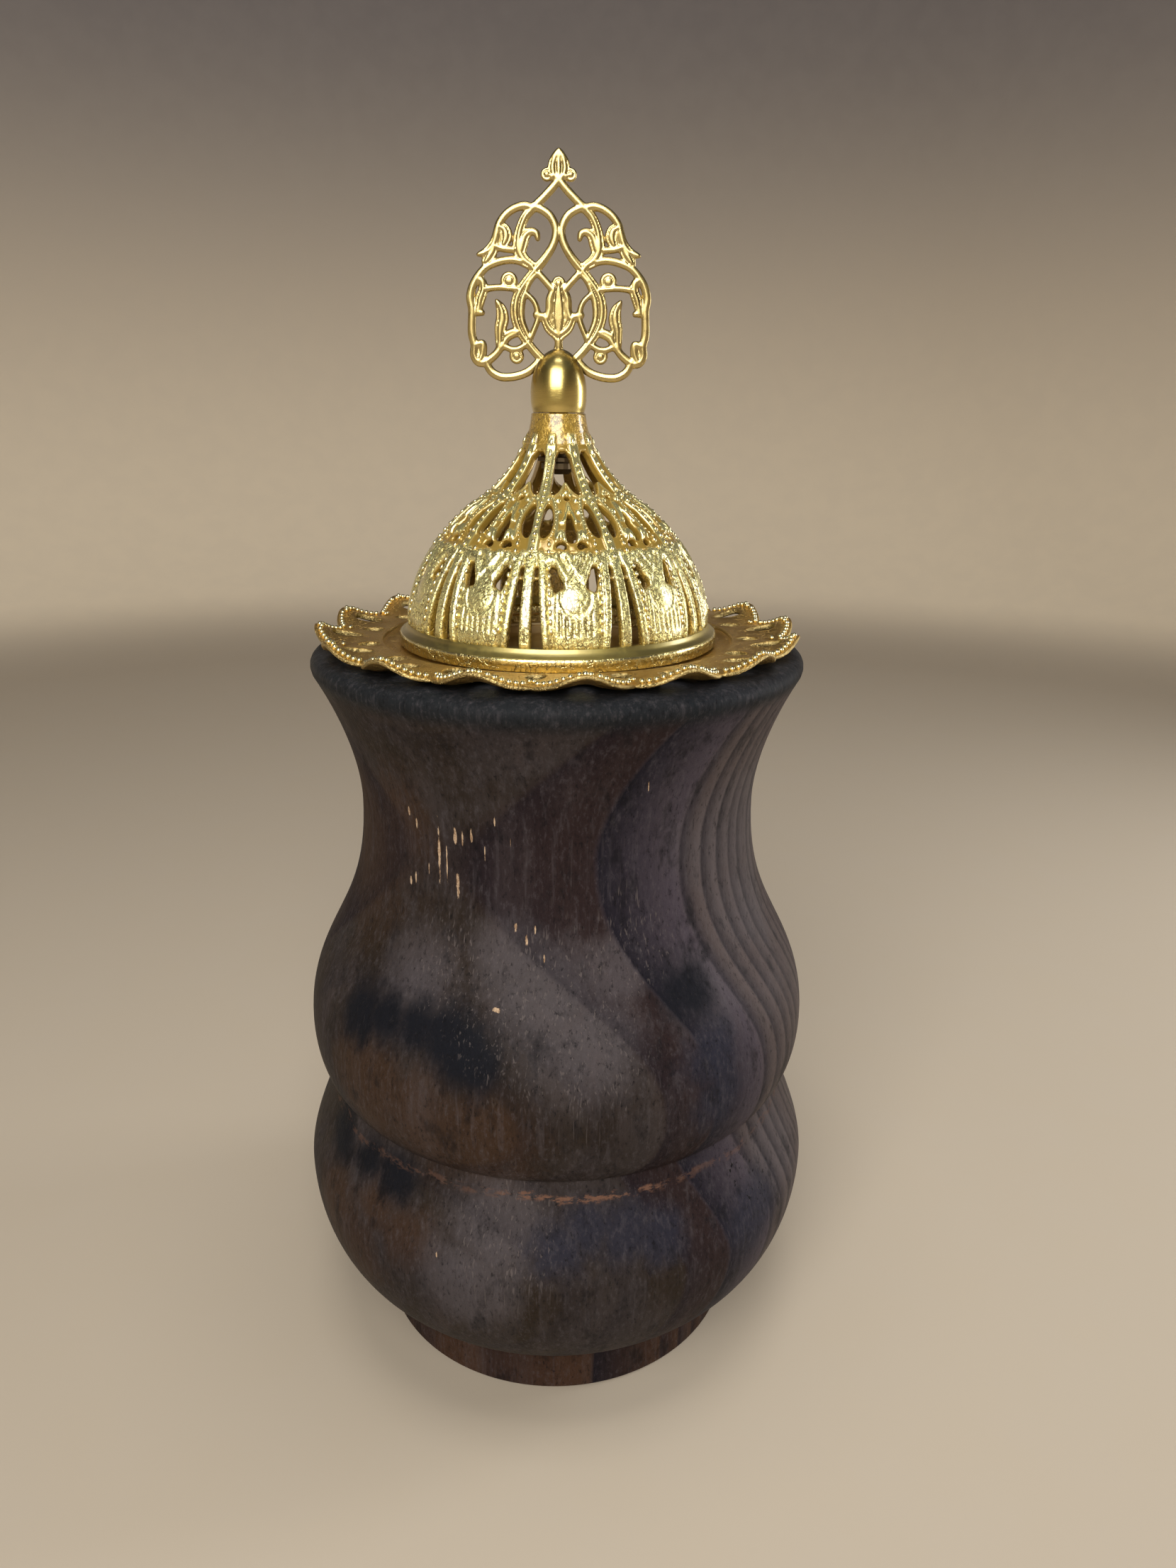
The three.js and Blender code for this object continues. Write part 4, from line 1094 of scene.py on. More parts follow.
def make_flange():
    flange_top = LID_BOTTOM + FLANGE_HEIGHT
    inner = DOME_RADIUS - DOME_WALL
    lip = FLANGE_RADIUS - FLANGE_THICKNESS
    # painted shade on the ledge
    ledge_gilt = cast_metal("gilt_ledge", LEDGE_SHADE_GOLD, 0.42, 700, 0.00004)
    # painted highlight on the upright band
    band_gilt = cast_metal("gilt_band", BAND_HIGHLIGHT_GOLD, 0.22, 1500, 0.00012, cracks=0.8)
    flange_ring("dome_ledge", ledge_gilt, 0.012, [
        (inner, LEDGE_TOP - 0.1), (DOME_RADIUS + 0.04, LEDGE_TOP - 0.02),
        (DOME_RADIUS + 0.16, LEDGE_TOP - 0.14), (DOME_RADIUS + 0.22, LEDGE_TOP - 0.5),
        (DOME_RADIUS + 0.5, LEDGE_TOP - 0.95),
        (FLANGE_RADIUS - 0.6, flange_top + 0.32), (FLANGE_RADIUS - 0.35, flange_top + 0.12),
        (FLANGE_RADIUS - 0.35, flange_top - 0.4), (inner, LEDGE_TOP - DOME_WALL),
    ])
    flange_ring("dome_band", band_gilt, 0.03, [
        (FLANGE_RADIUS - 0.45, flange_top + 0.06), (FLANGE_RADIUS - 0.16, flange_top + 0.1),
        (FLANGE_RADIUS - 0.03, flange_top - 0.04), (FLANGE_RADIUS, flange_top - 0.3),
        (FLANGE_RADIUS, LID_BOTTOM + 0.12), (FLANGE_RADIUS - 0.12, LID_BOTTOM), (lip, LID_BOTTOM),
        (lip, flange_top - FLANGE_THICKNESS / 2),
    ])


def flange_ring(name, material, lumps, profile):
    """A closed loop of [radius, height] points turned about the Z axis, with a rough face."""
    x, y = heading(np.arange(RING_SIDES) * 360 / RING_SIDES)
    points = np.array([(r * x[i], r * y[i], z) for i in range(RING_SIDES) for r, z in profile])
    count = len(profile)
    faces = []
    for i in range(RING_SIDES):
        here, there = i * count, (i + 1) % RING_SIDES * count
        for k in range(count):
            after = (k + 1) % count
            faces.append([here + k, here + after, there + after, there + k])
    faces = np.array(faces)
    ring = mesh_object(name, roughened(points, faces, lumps, 1.1, 14), faces, 50)
    dress(ring, "lid", material, "gilt_bright", "dome_lid")


def make_dome_beads(shell):
    """Rows of long grains up each rib and beside the panels, and small ones round the leaf openings."""
    grains = []

    def row(offset_at, up_from, up_to, size_from, size_to, gap, lift):
        s = start = shell.reach(up_from)
        end = shell.reach(up_to)
        while s < end:
            share = (s - start) / (end - start)
            size = np.array(size_from) + (np.array(size_to) - size_from) * share
            radius, z = (float(value) for value in shell.at(s))
            offset = offset_at((z - LEDGE_TOP) / DOME_HEIGHT, radius)
            for rib in range(PANELS):
                turn = RIB_PHASE + rib * SECTOR + math.degrees(offset / radius)
                centre = shell.place(turn, s, lift)
                along = shell.place(turn, s + 0.1, lift) - centre
                out = shell.place(turn, s, lift + 0.1) - centre
                along, out = along / np.linalg.norm(along), out / np.linalg.norm(out)
                grains.append((centre, size, (np.cross(along, out), along, out)))
            s += size[1] * 2 + gap

    for values in RIB_ROWS:
        row(lambda up, radius: 0.0, *values)
    for side in (-1, 1):
        def chain(up, radius):
            return side * (float(slot_edge(up, math.radians(SECTOR) * radius)) + CHAIN_OFFSET)

        def round_leaf(up, radius):
            return side * float(np.interp(up, *LEAF_CHAIN))

        row(chain, *CHAIN_ROW)
        row(round_leaf, *LEAF_ROW)
    # painted highlight: paler gilt for the grains
    gilt = cast_metal("gilt_beads", BEAD_HIGHLIGHT_GOLD, 0.2, 900, 0.00001)
    dress(beads("dome_beads", grains), "lid", gilt, "gilt_bright", "dome_lid")


# Tray: a smooth seat and well, and a band of sixteen raised and pierced petals. The openings are outlines as
# shares of a petal's pitch and of the band from the seat to the scallops.
PETAL_HOLE_SHARES = [
    (0, 0.32), (0.09, 0.42), (0.135, 0.6), (0.14, 0.78), (0.1, 0.94), (0, 1.0),
    (-0.1, 0.94), (-0.14, 0.78), (-0.135, 0.6), (-0.09, 0.42),
]
SEAT_HOLE_SHARES = [
    (0, 0.02), (0.09, 0.07), (0.13, 0.2), (0.09, 0.38), (0, 0.49), (-0.09, 0.38), (-0.13, 0.2), (-0.09, 0.07),
]
TRAY_STEP = 0.26
PETAL_SAMPLES = 48
BAND_START = SEAT_RADIUS + SHOULDER_WIDTH
EDGE_THINNING = 0.55
HOLE_LIP = 0.1
EDGE_LIP = 0.14
CREASE_DEPTH = 0.25
CREASE_REACH = 0.7
GRAIN_RISE = 0.32
GRAIN_INSET = 0.95


def tip_share(degrees):
    """1 at a petal's tip and 0 between two petals."""
    turn = (degrees - PETAL_PHASE) * PETALS / 360
    return 1 - 2 * np.abs(turn - np.round(turn))


def tray_edge(degrees):
    return TRAY_RADIUS - SCALLOP_DEPTH * (1 - np.sin(tip_share(degrees) * np.pi / 2))


def tray_rise(degrees, radius):
    """How far the band rises above its flat level at a place."""
    out = np.clip((radius - BAND_START) / (TRAY_RADIUS - BAND_START), 0, 1)
    return PETAL_LIFT * smoothstep(tip_share(degrees), 0, 1) ** 1.2 * out**1.6


def petal_field(r, n, inner):
    """Samples of one petal, along the heading, the radius and the height."""
    across = (np.arange(PETAL_SAMPLES) / PETAL_SAMPLES)[:, None]
    out = r[None, :]
    pitch = np.radians(360 / PETALS) * out
    edge_away = tray_edge(PETAL_PHASE + across * 360 / PETALS) - out
    band = TRAY_RADIUS - SCALLOP_DEPTH - BAND_START
    inside = np.minimum(edge_away, out - inner)
    face = np.zeros_like(inside)
    for shares, away in ((PETAL_HOLE_SHARES, across - np.round(across)), (SEAT_HOLE_SHARES, across - 0.5)):
        outline = smooth_outline([(a, BAND_START + share * band) for a, share in shares], 1)
        hole = outline_distance(away, out, outline, pitch)
        inside = np.minimum(inside, hole)
        face = np.maximum(face, HOLE_LIP * (1 - smoothstep(hole, 0.3, 0.9)))
    face = np.maximum(face, EDGE_LIP * (1 - smoothstep(edge_away, 0.5, 0.95)))
    crease = 1 - smoothstep(np.abs(across - 0.5) * pitch, 0, CREASE_REACH)
    face = face - CREASE_DEPTH * crease * smoothstep(out, 33, 36)
    wall = TRAY_THICKNESS - EDGE_THINNING * (1 - smoothstep(edge_away, 0.2, 3.2))
    field = soft_least(inside[:, :, None], face[:, :, None] - n, 0.3)
    return soft_least(field, n + wall[:, :, None], 0.2)


def make_tray():
    # the tray's upright sides get a painted highlight colour
    gilt = cast_metal("gilt_tray", TRAY_GOLD, 0.32, 3000, 0.00026, 0.4, sides=TRAY_RIM_HIGHLIGHT_GOLD, lacquer=False)
    inner = SEAT_RADIUS + 0.3
    r = np.arange(TRAY_RADIUS + 3 * TRAY_STEP, inner - 3 * TRAY_STEP, -TRAY_STEP)
    n = np.arange(-TRAY_THICKNESS - 0.6, 1.2, TRAY_STEP)
    points, faces = surface_net(np.tile(petal_field(r, n, inner), (PETALS, 1, 1)), wrap=True)
    turn = PETAL_PHASE + points[:, 0] * 360 / (PETAL_SAMPLES * PETALS)
    radius = r[0] - points[:, 1] * TRAY_STEP
    x, y = heading(turn)
    z = TRAY_TOP + tray_rise(turn, radius) + n[0] + points[:, 2] * TRAY_STEP
    placed = roughened(np.stack([radius * x, radius * y, z], axis=1), faces, 0.03, LUMP_SIZE, 21)
    dress(mesh_object("tray_petals", placed, faces), "tray", gilt, "gilt_dull", "tray")
    make_tray_beads()
    under = SEAT_RADIUS + TRAY_THICKNESS / 2
    bottom = WELL_FLOOR - TRAY_THICKNESS
    seat_bottom = SEAT_TOP - TRAY_THICKNESS
    band_bottom = TRAY_TOP - TRAY_THICKNESS
    foot = WELL_RADIUS - WELL_DRAFT
    base = turned("tray_well", [
        (0, bottom), (foot + TRAY_THICKNESS - 0.4, bottom), (foot + TRAY_THICKNESS, bottom + 0.4),
        (WELL_RADIUS + TRAY_THICKNESS, seat_bottom), (under, seat_bottom), (under, band_bottom + 0.1),
        (BAND_START, band_bottom + 0.1), (BAND_START + 0.35, TRAY_TOP - TRAY_THICKNESS / 2),
        (BAND_START + 0.2, TRAY_TOP - 0.08), (BAND_START - 0.15, TRAY_TOP),
        (SEAT_RADIUS + SHOULDER_WIDTH * 0.45, TRAY_TOP - 0.35),
        (SEAT_RADIUS + SHOULDER_WIDTH * 0.1, SEAT_TOP + 0.12), (SEAT_RADIUS - 0.4, SEAT_TOP),
        (WELL_RADIUS + 0.3, SEAT_TOP), (WELL_RADIUS, SEAT_TOP - 0.3), (foot + 0.2, WELL_FLOOR + 0.3),
        (foot - 0.4, WELL_FLOOR), (0, WELL_FLOOR),
    ], BODY_SIDES, 50)
    dress(base, "tray", gilt, "gilt_dull", "tray")


def make_tray_beads():
    """Grains along both sides of each petal, three at its tip and two in the cleft beside it."""
    grains = []
    pitch = 360 / PETALS
    tip = TRAY_RADIUS - GRAIN_INSET

    def grain(degrees, radius, size):
        x, y = heading(degrees)
        z = TRAY_TOP + float(tray_rise(degrees, radius)) + GRAIN_RISE
        grains.append((np.array((radius * x, radius * y, z)), (size, size, size), np.eye(3)))

    for petal in range(PETALS):
        middle = PETAL_PHASE + petal * pitch
        for side in (-1, 1):
            for k in range(6):
                degrees = middle + side * pitch * (0.13 + 0.06 * k)
                grain(degrees, float(tray_edge(degrees)) - GRAIN_INSET, 0.42)
        grain(middle, tip, 0.46)
        for side in (-1, 1):
            grain(middle + side * 1.15, tip - 0.35, 0.42)
            grain(middle + pitch / 2 + side * 0.5, SEAT_RADIUS + 6.9, 0.32)
    # painted highlight: paler gilt for the grains
    gilt = cast_metal("gilt_grains", BEAD_HIGHLIGHT_GOLD, 0.22, 900, 0.00001)
    dress(beads("tray_beads", grains), "tray", gilt, "gilt_dull", "tray")


# Ember dish


def make_dish():
    tin = Shader("tinned_sheet")
    cloud = tin.noise(130, 4)
    marks = tin.noise(900, 2, 6)
    tin.set(base_color=tin.mix(cloud, TIN_LIGHT, TIN_DARK), metallic=1.0)
    tin.set(roughness=tin.step(cloud, 0.3, 0.7, 0.28, 0.5), normal=tin.bump(marks, 0.25, 0.00015))
    wall = DISH_THICKNESS
    base = WELL_RADIUS - WELL_DRAFT - FIT_GAP
    lip = WELL_RADIUS - WELL_DRAFT * (SEAT_TOP - DISH_TOP + wall) / WELL_DEPTH - FIT_GAP
    roll = wall * 0.9
    curl = [
        (lip - roll + roll * math.cos(a), DISH_TOP - roll + roll * math.sin(a))
        for a in np.radians(np.linspace(-40, 200, 11))
    ]
    dish = turned("pressed_dish", [
        (0, DISH_BOTTOM), (base - wall * 1.5, DISH_BOTTOM), (base - wall * 0.4, DISH_BOTTOM + wall * 0.3),
        (base, DISH_BOTTOM + wall * 1.4), (lip - wall * 0.5, DISH_TOP - roll * 1.9), *curl,
        (base - wall * 1.4, DISH_BOTTOM + wall * 2.3), (base - wall * 2.4, DISH_BOTTOM + wall * 1.25),
        (base - wall * 4, DISH_BOTTOM + wall), (0, DISH_BOTTOM + wall),
    ], 192, 40)
    dress(dish, "dish", tin.material, "tin", "ember_dish")


# Knob: an egg with a saw cut across its top and a screw hole in its foot


def cut_box(piece, low_corner, high_corner):
    """Takes a box between two corners out of a piece."""
    xs, ys, zs = zip(low_corner, high_corner)
    corners = [(x, y, z) for x in xs for y in ys for z in zs]
    sides = [(0, 1, 3, 2), (4, 6, 7, 5), (0, 4, 5, 1), (2, 3, 7, 6), (0, 2, 6, 4), (1, 5, 7, 3)]
    cutter = mesh_object("saw_cut", corners, sides)
    cut = piece.modifiers.new("saw cut", "BOOLEAN")
    cut.operation = "DIFFERENCE"
    cut.solver = "EXACT"
    cut.object = cutter
    shape = bpy.data.meshes.new_from_object(piece.evaluated_get(bpy.context.evaluated_depsgraph_get()))
    piece.modifiers.clear()
    piece.data = shape
    shape.materials.clear()
    shape.set_sharp_from_angle(angle=math.radians(40))
    bpy.data.objects.remove(cutter)


def make_knob():
    height = KNOB_TOP - KNOB_BOTTOM
    belly = KNOB_BOTTOM + height * 0.3
    hole_top = KNOB_BOTTOM + SCREW_HOLE_DEPTH
    foot = KNOB_BOTTOM - SEAM
    side = (KNOB_BASE_RADIUS, KNOB_BOTTOM + 0.25)
    widest = (KNOB_RADIUS, belly)
    below = [(KNOB_RADIUS, KNOB_BOTTOM + height * 0.1), (KNOB_RADIUS, belly - height * 0.1)]
    above = [(KNOB_RADIUS, belly + height * 0.4), (KNOB_RADIUS * 0.55, KNOB_TOP)]
    knob = turned("satin_knob", [
        (0, hole_top), (SCREW_HOLE_RADIUS, hole_top), (SCREW_HOLE_RADIUS, foot),
        (KNOB_BASE_RADIUS - 0.2, foot), (KNOB_BASE_RADIUS - 0.06, KNOB_BOTTOM - SEAM * 0.3), side,
        *curved(side, *below, widest, 12), *curved(widest, *above, (0, KNOB_TOP), 30),
    ], 128, 40)
    half = CREST_THICKNESS / 2 + FIT_GAP
    reach = KNOB_RADIUS + 1
    cut_box(knob, (-reach, -half, KNOB_TOP - KNOB_SLOT_DEPTH), (reach, half, KNOB_TOP + 1))
    # satin gilt darkened as painted shade
    gilt = satin_metal("gilt_satin", KNOB_SHADED_GOLD, 0.27)
    lacquered(gilt, 0.27)
    dress(knob, "finial", gilt.material, "gilt_satin", "finial_knob")


# Crest: strands and dots of one half, as shares of its half width, of its height and of a strand's width.
# Each point of a strand is (across from the middle, up, width), and so is each dot.
STRAND_SHARES = {
    "tip_leaf": [
        (0, 0.87, 0.6), (0.055, 0.895, 1.2), (0.065, 0.93, 1.25), (0.04, 0.965, 0.85), (0, 0.997, 0.25),
    ],
    "tip_core": [(0, 0.875, 0.8), (0, 0.93, 1.4), (0, 0.98, 0.7)],
    "tip_link": [(0.125, 0.889, 0.8), (0.05, 0.886, 0.8)],
    "stem": [
        (0, 0.873, 0.8), (0.075, 0.836, 0.95), (0.17, 0.796, 0.95), (0.265, 0.758, 1), (0.355, 0.721, 1.1),
        (0.41, 0.674, 1.2), (0.437, 0.626, 1.4), (0.435, 0.577, 1.7), (0.385, 0.536, 1.6),
        (0.29, 0.51, 1.1),
    ],
    "loop": [
        (0.265, 0.76, 0.9), (0.17, 0.745, 0.95), (0.087, 0.718, 0.95), (0.035, 0.674, 0.9),
        (0.037, 0.632, 0.9), (0.076, 0.588, 0.95), (0.155, 0.539, 1.05), (0.243, 0.497, 1.15),
        (0.331, 0.455, 1.15), (0.411, 0.409, 1.25), (0.464, 0.363, 1.35), (0.48, 0.31, 1.4),
        (0.463, 0.26, 1.3), (0.408, 0.209, 1.2), (0.334, 0.166, 1.1), (0.26, 0.129, 1.1), (0.19, 0.1, 1.1),
    ],
    "inner": [
        (0.24, 0.483, 0.6), (0.33, 0.435, 0.7), (0.4, 0.36, 0.8), (0.41, 0.275, 0.75), (0.33, 0.19, 0.6),
    ],
    "hook": [
        (0.42, 0.565, 1.3), (0.398, 0.605, 1.7), (0.365, 0.638, 1.4), (0.3, 0.655, 0.9),
        (0.245, 0.648, 0.75), (0.228, 0.625, 0.45),
    ],
    "arch": [
        (0.285, 0.755, 0.9), (0.372, 0.763, 0.95), (0.478, 0.752, 0.9), (0.574, 0.725, 0.9),
        (0.644, 0.687, 0.9), (0.674, 0.646, 0.95), (0.706, 0.605, 1.1), (0.777, 0.57, 1.1),
        (0.88, 0.555, 0.35),
    ],
    "arch_leaf": [(0.65, 0.674, 0.7), (0.592, 0.663, 1.5), (0.572, 0.632, 1.7), (0.6, 0.6, 1.1)],
    "leaf_foot": [(0.697, 0.612, 0.7), (0.715, 0.577, 1.35), (0.763, 0.546, 1.6), (0.796, 0.525, 1.1)],
    "upper_bar": [(0.697, 0.591, 0.7), (0.6, 0.581, 0.7), (0.46, 0.577, 0.7)],
    "outer_loop": [
        (0.257, 0.487, 1), (0.323, 0.516, 1.1), (0.422, 0.53, 0.95), (0.546, 0.534, 0.85),
        (0.68, 0.523, 0.9), (0.796, 0.501, 0.9), (0.885, 0.462, 0.95), (0.949, 0.417, 1), (0.977, 0.367, 1),
        (0.96, 0.317, 0.95), (0.965, 0.267, 0.95), (0.967, 0.209, 1), (0.941, 0.158, 1),
        (0.945, 0.114, 1.1), (0.9, 0.084, 1.1), (0.818, 0.084, 1), (0.717, 0.114, 0.95),
        (0.635, 0.155, 0.85), (0.562, 0.195, 0.8), (0.46, 0.215, 0.75),
    ],
    "spur": [
        (0.895, 0.455, 0.7), (0.841, 0.438, 0.95), (0.832, 0.402, 1.2), (0.869, 0.36, 1.35),
        (0.895, 0.304, 0.7),
    ],
    "spur_foot": [(0.9, 0.304, 0.6), (0.85, 0.303, 0.6)],
    "middle_bar": [(0.84, 0.406, 0.8), (0.69, 0.414, 0.65), (0.545, 0.413, 0.65), (0.42, 0.404, 0.65)],
    "feather": [
        (0.685, 0.356, 0.35), (0.635, 0.317, 1.4), (0.626, 0.274, 1.8), (0.649, 0.231, 1.6),
        (0.66, 0.15, 0.9),
    ],
    "lower_bar": [(0.6, 0.205, 0.7), (0.508, 0.222, 0.7), (0.42, 0.218, 0.7)],
    "crescent": [(0.61, 0.155, 0.7), (0.507, 0.14, 0.7), (0.416, 0.15, 0.7), (0.335, 0.176, 0.7)],
    "corner_leaf": [(0.94, 0.158, 0.6), (0.853, 0.166, 0.85), (0.854, 0.122, 1.1), (0.885, 0.09, 0.9)],
    "lower_loop": [
        (0.82, 0.088, 0.95), (0.763, 0.043, 1), (0.662, 0.018, 1), (0.542, 0.016, 1), (0.414, 0.028, 1),
        (0.313, 0.05, 1), (0.2, 0.095, 1),
    ],
    "thread": [
        (0.36, 0.39, 0.5), (0.275, 0.356, 0.55), (0.238, 0.317, 0.6), (0.233, 0.274, 0.6),
        (0.32, 0.185, 0.6),
    ],
    "bud_arm": [(0.22, 0.476, 0.8), (0.133, 0.438, 0.8), (0.05, 0.4, 0.9)],
    "tulip": [(0.05, 0.409, 0.9), (0.095, 0.367, 1), (0.102, 0.317, 1), (0.128, 0.28, 0.9)],
    "tulip_core": [(0, 0.425, 1.2), (0, 0.346, 2.7), (0, 0.28, 3.3)],
    "cup": [(0.156, 0.285, 1.1), (0.1, 0.238, 1.4), (0, 0.206, 1.4)],
    "cup_core": [(0, 0.285, 3.3), (0, 0.206, 1.7)],
    "cup_side": [(0.25, 0.296, 0.75), (0.15, 0.286, 0.95)],
    "foot": [(0, 0.21, 0.95), (0, 0.166, 0.95), (0, 0.13, 1.5)],
}
DOT_SHARES = [(0.128, 0.892, 0.82), (0.546, 0.443, 1.25), (0.47, 0.111, 1.05), (0, 0.434, 0.95)]
CREST_STEP = 0.15
STRAND_SWELL = 0.2
ENGRAVED_FROM_WIDTH = 1.15
ENGRAVED_DEPTH = 0.13
ENGRAVED_WIDTH = 0.13


def strand_field(x, z, line, half_height):
    """How far inside a strand each place of the crest's plane is, and how high its face stands there."""
    inside = np.full(x.shape, -FAR)
    height = np.zeros(x.shape)
    for (x0, z0, w0), (x1, z1, w1) in zip(line, line[1:]):
        reach = max(w0, w1) / 2 + 1.2
        near = (
            (x > min(x0, x1) - reach) & (x < max(x0, x1) + reach)
            & (z > min(z0, z1) - reach) & (z < max(z0, z1) + reach)
        )
        if not near.any():
            continue
        px, pz = x[near], z[near]
        dx, dz = x1 - x0, z1 - z0
        t = np.clip(((px - x0) * dx + (pz - z0) * dz) / (dx * dx + dz * dz + TINY), 0, 1)
        far = np.hypot(px - x0 - t * dx, pz - z0 - t * dz)
        width = w0 + t * (w1 - w0)
        half = width / 2 + np.minimum(STRAND_SWELL, width * 0.45)
        depth = half - far
        crown = half_height * (1 - 0.3 * np.clip(far / half, 0, 1) ** 2)
        groove = smoothstep(2 * half, ENGRAVED_FROM_WIDTH, ENGRAVED_FROM_WIDTH + 0.35)
        crown = crown - ENGRAVED_DEPTH * groove * np.exp(-(((far - half * 0.5) / ENGRAVED_WIDTH) ** 2))
        better = depth > inside[near]
        height[near] = np.where(better, crown, height[near])
        inside[near] = np.maximum(inside[near], depth)
    return inside, height


def crest_lines():
    """The strands and dots as lines of (across, height, width) in millimetres."""
    scale = np.array([CREST_HALF_WIDTH, CREST_HEIGHT, STRAND_WIDTH])
    lines = [np.array(sampled(shares, 4)) * scale for shares in STRAND_SHARES.values()]
    for shares in DOT_SHARES:
        at = np.array(shares) * scale * (1, 1, 2)
        lines.append(np.array([at, at + [0, 0.01, 0]]))
    return [line + [0, CREST_BOTTOM, 0] for line in lines]


def make_crest():
    half_height = CREST_THICKNESS / 2
    x = np.arange(-CREST_HALF_WIDTH - 0.9, CREST_HALF_WIDTH + 0.9, CREST_STEP)
    z = np.arange(TANG_BOTTOM - 0.6, CREST_BOTTOM + CREST_HEIGHT + 0.8, CREST_STEP)
    n = np.arange(-half_height - 0.3, half_height + 0.31, CREST_STEP)
    grid_x, grid_z = np.meshgrid(x, z, indexing="ij")
    best = np.full(grid_x.shape, -FAR)
    crown = np.zeros(grid_x.shape)
    for line in crest_lines():
        inside, height = strand_field(np.abs(grid_x), grid_z, line, half_height)
        crown = np.where(inside > best, height, crown)
        best = -soft_least(-best, -inside, 0.22)
    tang = np.minimum(grid_z - TANG_BOTTOM, TANG_BOTTOM + TANG_HEIGHT - grid_z)
    tang = np.minimum(TANG_HALF_WIDTH - np.abs(grid_x), tang)
    crown = np.where(tang > best, half_height, crown)
    best = np.maximum(best, tang)
    crown = np.clip(crown, 0.3, half_height)
    field = soft_least(best[:, :, None], crown[:, :, None] - np.abs(n), 0.28)
    points, faces = surface_net(field)
    across, up, out = (points * CREST_STEP).T
    placed = np.stack([x[0] + across, -(n[0] + out), z[0] + up], axis=1)
    placed = roughened(placed, faces, 0.006, LUMP_SIZE, 31)
    # bright gilt darkened as painted shade
    gilt = cast_metal("gilt_crest", CREST_SHADED_GOLD, 0.3, 900, 0.00001)
    dress(mesh_object("crest_openwork", placed, faces), "finial", gilt, "gilt_bright", "finial_crest")


# Floor, backdrop, lamps and camera
FLOOR_COLOUR = (0.5, 0.425, 0.33)
MOTTLE_COLOUR = (0.5, 0.45, 0.4)
# painted light: a bright band low on the backdrop, fading into the darker backdrop above
WALL_PAINTED_LIGHT_COLOUR = (0.92, 0.79, 0.6)
BACKDROP_COLOUR = (0.24, 0.215, 0.21)
WALL_FADE = (0.03, 0.5)
FLOOR_REACH = 600
SWEEP_RADIUS = 260
BACKDROP_HEIGHT = 900
WORLD_LEVEL = 0.1
WORLD_COLOUR = (0.93, 0.96, 1.0, 1.0)
FOCAL_PIXELS = 1534
IMAGE_HEIGHT = 2212
CAMERA_PLACE = (5.25, -181.0, 163.9)
CAMERA_PITCH = 18.94
CAMERA_ROLL = 0.6
SENSOR = 36

# Lamps: place, aim, size, power and tint of each
LAMPS = {
    "front_lamp": ((-70, -480, 425), (0, 0, 140), (440, 380), 3.7, (1.0, 0.985, 0.95)),
    "high_strip": ((0, -170, 640), (0, 0, 140), (200, 60), 0.22, (1.0, 0.98, 0.95)),
    "side_strip": ((480, 110, 190), (0, 0, 100), (120, 320), 1.1, (0.96, 0.98, 1.0)),
    "floor_lamp": ((30, -60, 800), (0, 0, 60), (420, 360), 1.8, (1.0, 0.98, 0.95)),
}
LAMPS_OUT_OF_GLOSS = ["floor_lamp"]


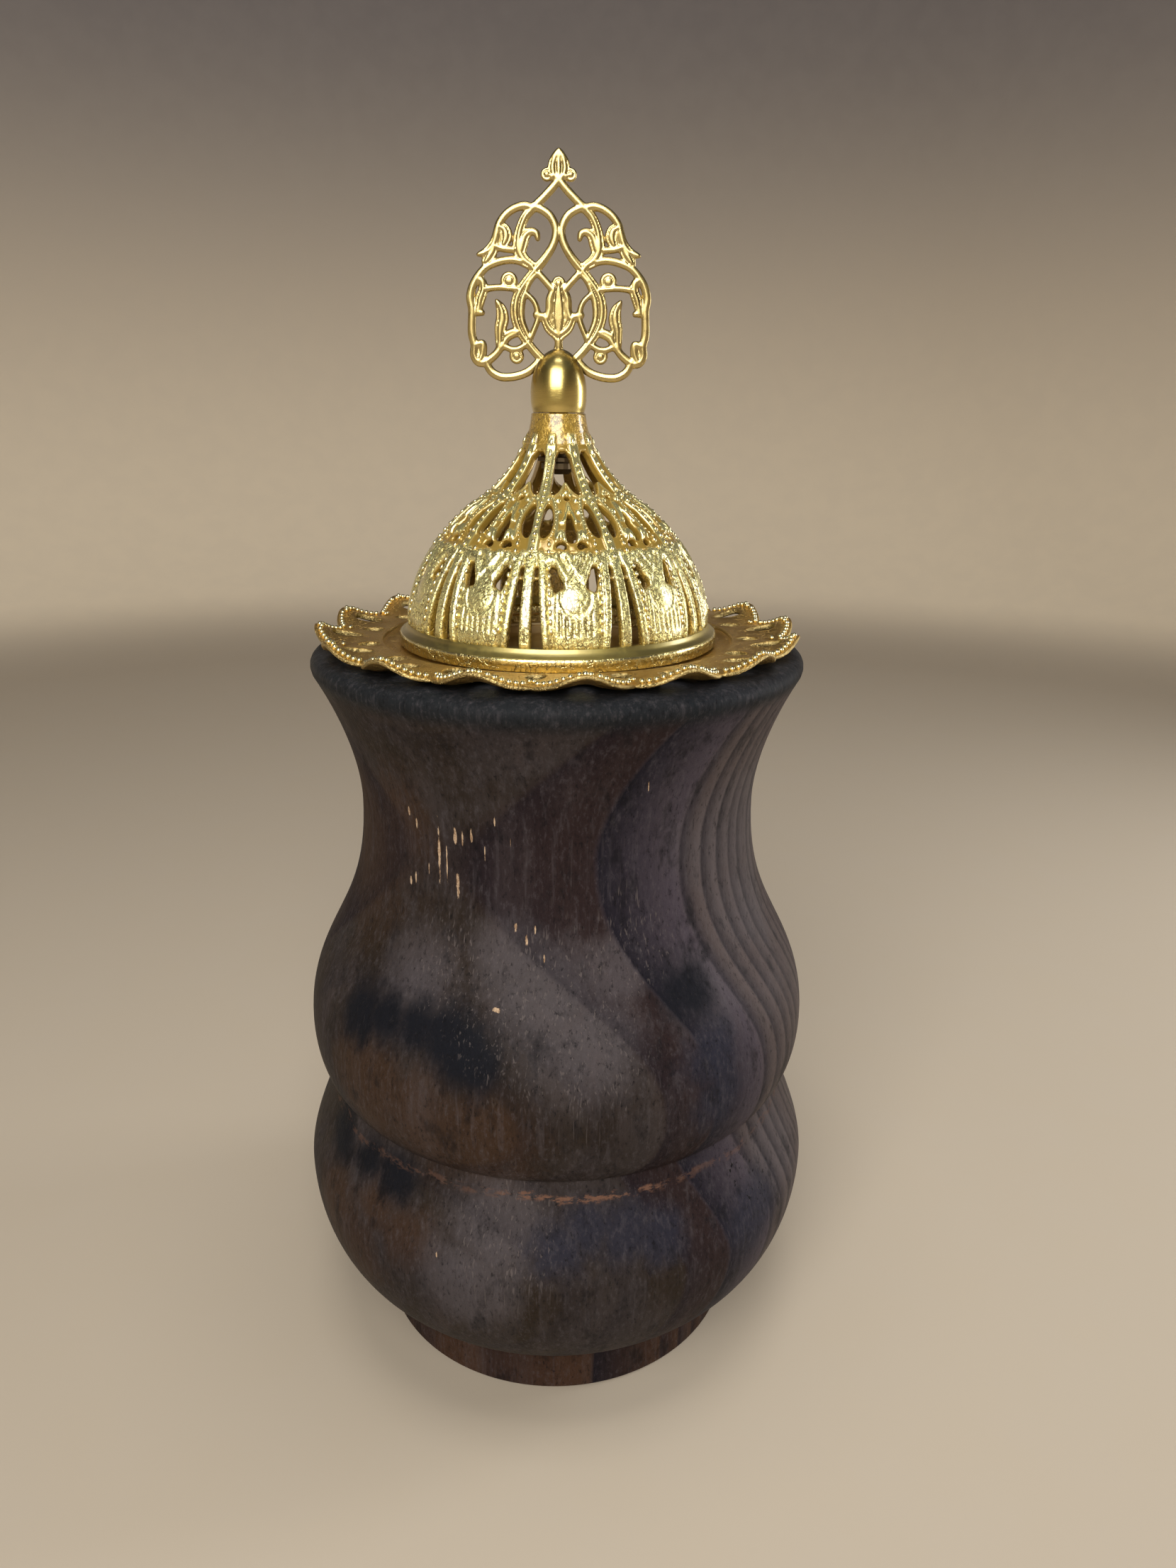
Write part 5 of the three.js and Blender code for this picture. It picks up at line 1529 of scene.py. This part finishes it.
def make_stage():
    """A pale round floor that sweeps up into a backdrop all round."""
    arc = [
        (FLOOR_REACH + SWEEP_RADIUS * math.sin(a), SWEEP_RADIUS * (1 - math.cos(a)))
        for a in np.radians(np.linspace(0, 90, 16))
    ]
    profile = [(0, 0), *arc, (FLOOR_REACH + SWEEP_RADIUS, BACKDROP_HEIGHT)]
    stage = turned("floor_and_backdrop", profile, 96, crease=60)
    stage.data.flip_normals()
    shader = Shader("paper_floor")
    height = shader.height()
    mottle = shader.step(shader.noise(60, 3), 0.3, 0.7, 0.0, 0.06)
    # painted light: the low band of the backdrop is brighter than the floor
    base = shader.mix(shader.step(height, 0.0, WALL_FADE[0]), FLOOR_COLOUR, WALL_PAINTED_LIGHT_COLOUR)
    base = shader.mix(shader.step(height, *WALL_FADE), base, BACKDROP_COLOUR)
    shader.set(base_color=shader.mix(mottle, base, MOTTLE_COLOUR), roughness=0.75, specular_ior_level=0.2)
    stage.data.materials.append(shader.material)


def make_lights():
    world = bpy.data.worlds.new("soft_room")
    world.use_nodes = True
    inputs = world.node_tree.nodes["Background"].inputs
    inputs["Color"].default_value = WORLD_COLOUR
    inputs["Strength"].default_value = WORLD_LEVEL
    bpy.context.scene.world = world
    for name, (place, aim, size, power, tint) in LAMPS.items():
        light = bpy.data.lights.new(name, "AREA")
        light.shape = "RECTANGLE"
        light.size, light.size_y = in_metres(size)
        light.energy = power
        light.color = tint
        lamp = bpy.data.objects.new(name, light)
        lamp.location = Vector(place) * MM
        lamp.rotation_mode = "QUATERNION"
        lamp.rotation_quaternion = (Vector(aim) - Vector(place)).to_track_quat("-Z", "Y")
        lamp.visible_camera = False
        lamp.visible_glossy = name not in LAMPS_OUT_OF_GLOSS
        bpy.context.scene.collection.objects.link(lamp)


def make_camera():
    data = bpy.data.cameras.new("camera")
    data.sensor_width = SENSOR
    data.lens = SENSOR * FOCAL_PIXELS / IMAGE_HEIGHT
    data.clip_start = 0.01
    camera = bpy.data.objects.new("camera", data)
    tilt = Matrix.Rotation(math.radians(90 - CAMERA_PITCH), 4, "X")
    roll = Matrix.Rotation(math.radians(CAMERA_ROLL), 4, "Z")
    camera.matrix_world = Matrix.Translation(Vector(CAMERA_PLACE) * MM) @ tilt @ roll
    bpy.context.scene.collection.objects.link(camera)
    bpy.context.scene.camera = camera


def make_steel(*names):
    """Gives the CAD nodes that no mesh stands for their steel."""
    steel = satin_metal("plain_steel", STEEL_GREY, 0.5).material
    for name in names:
        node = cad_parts[name]
        node.data.materials.clear()
        node.data.materials.append(steel)


bpy.context.scene.view_settings.view_transform = "Standard"
make_camera()
make_lights()
make_stage()
make_body()
make_dome()
make_tray()
make_dish()
make_knob()
make_crest()
make_steel("finial_screw", "finial_washer")
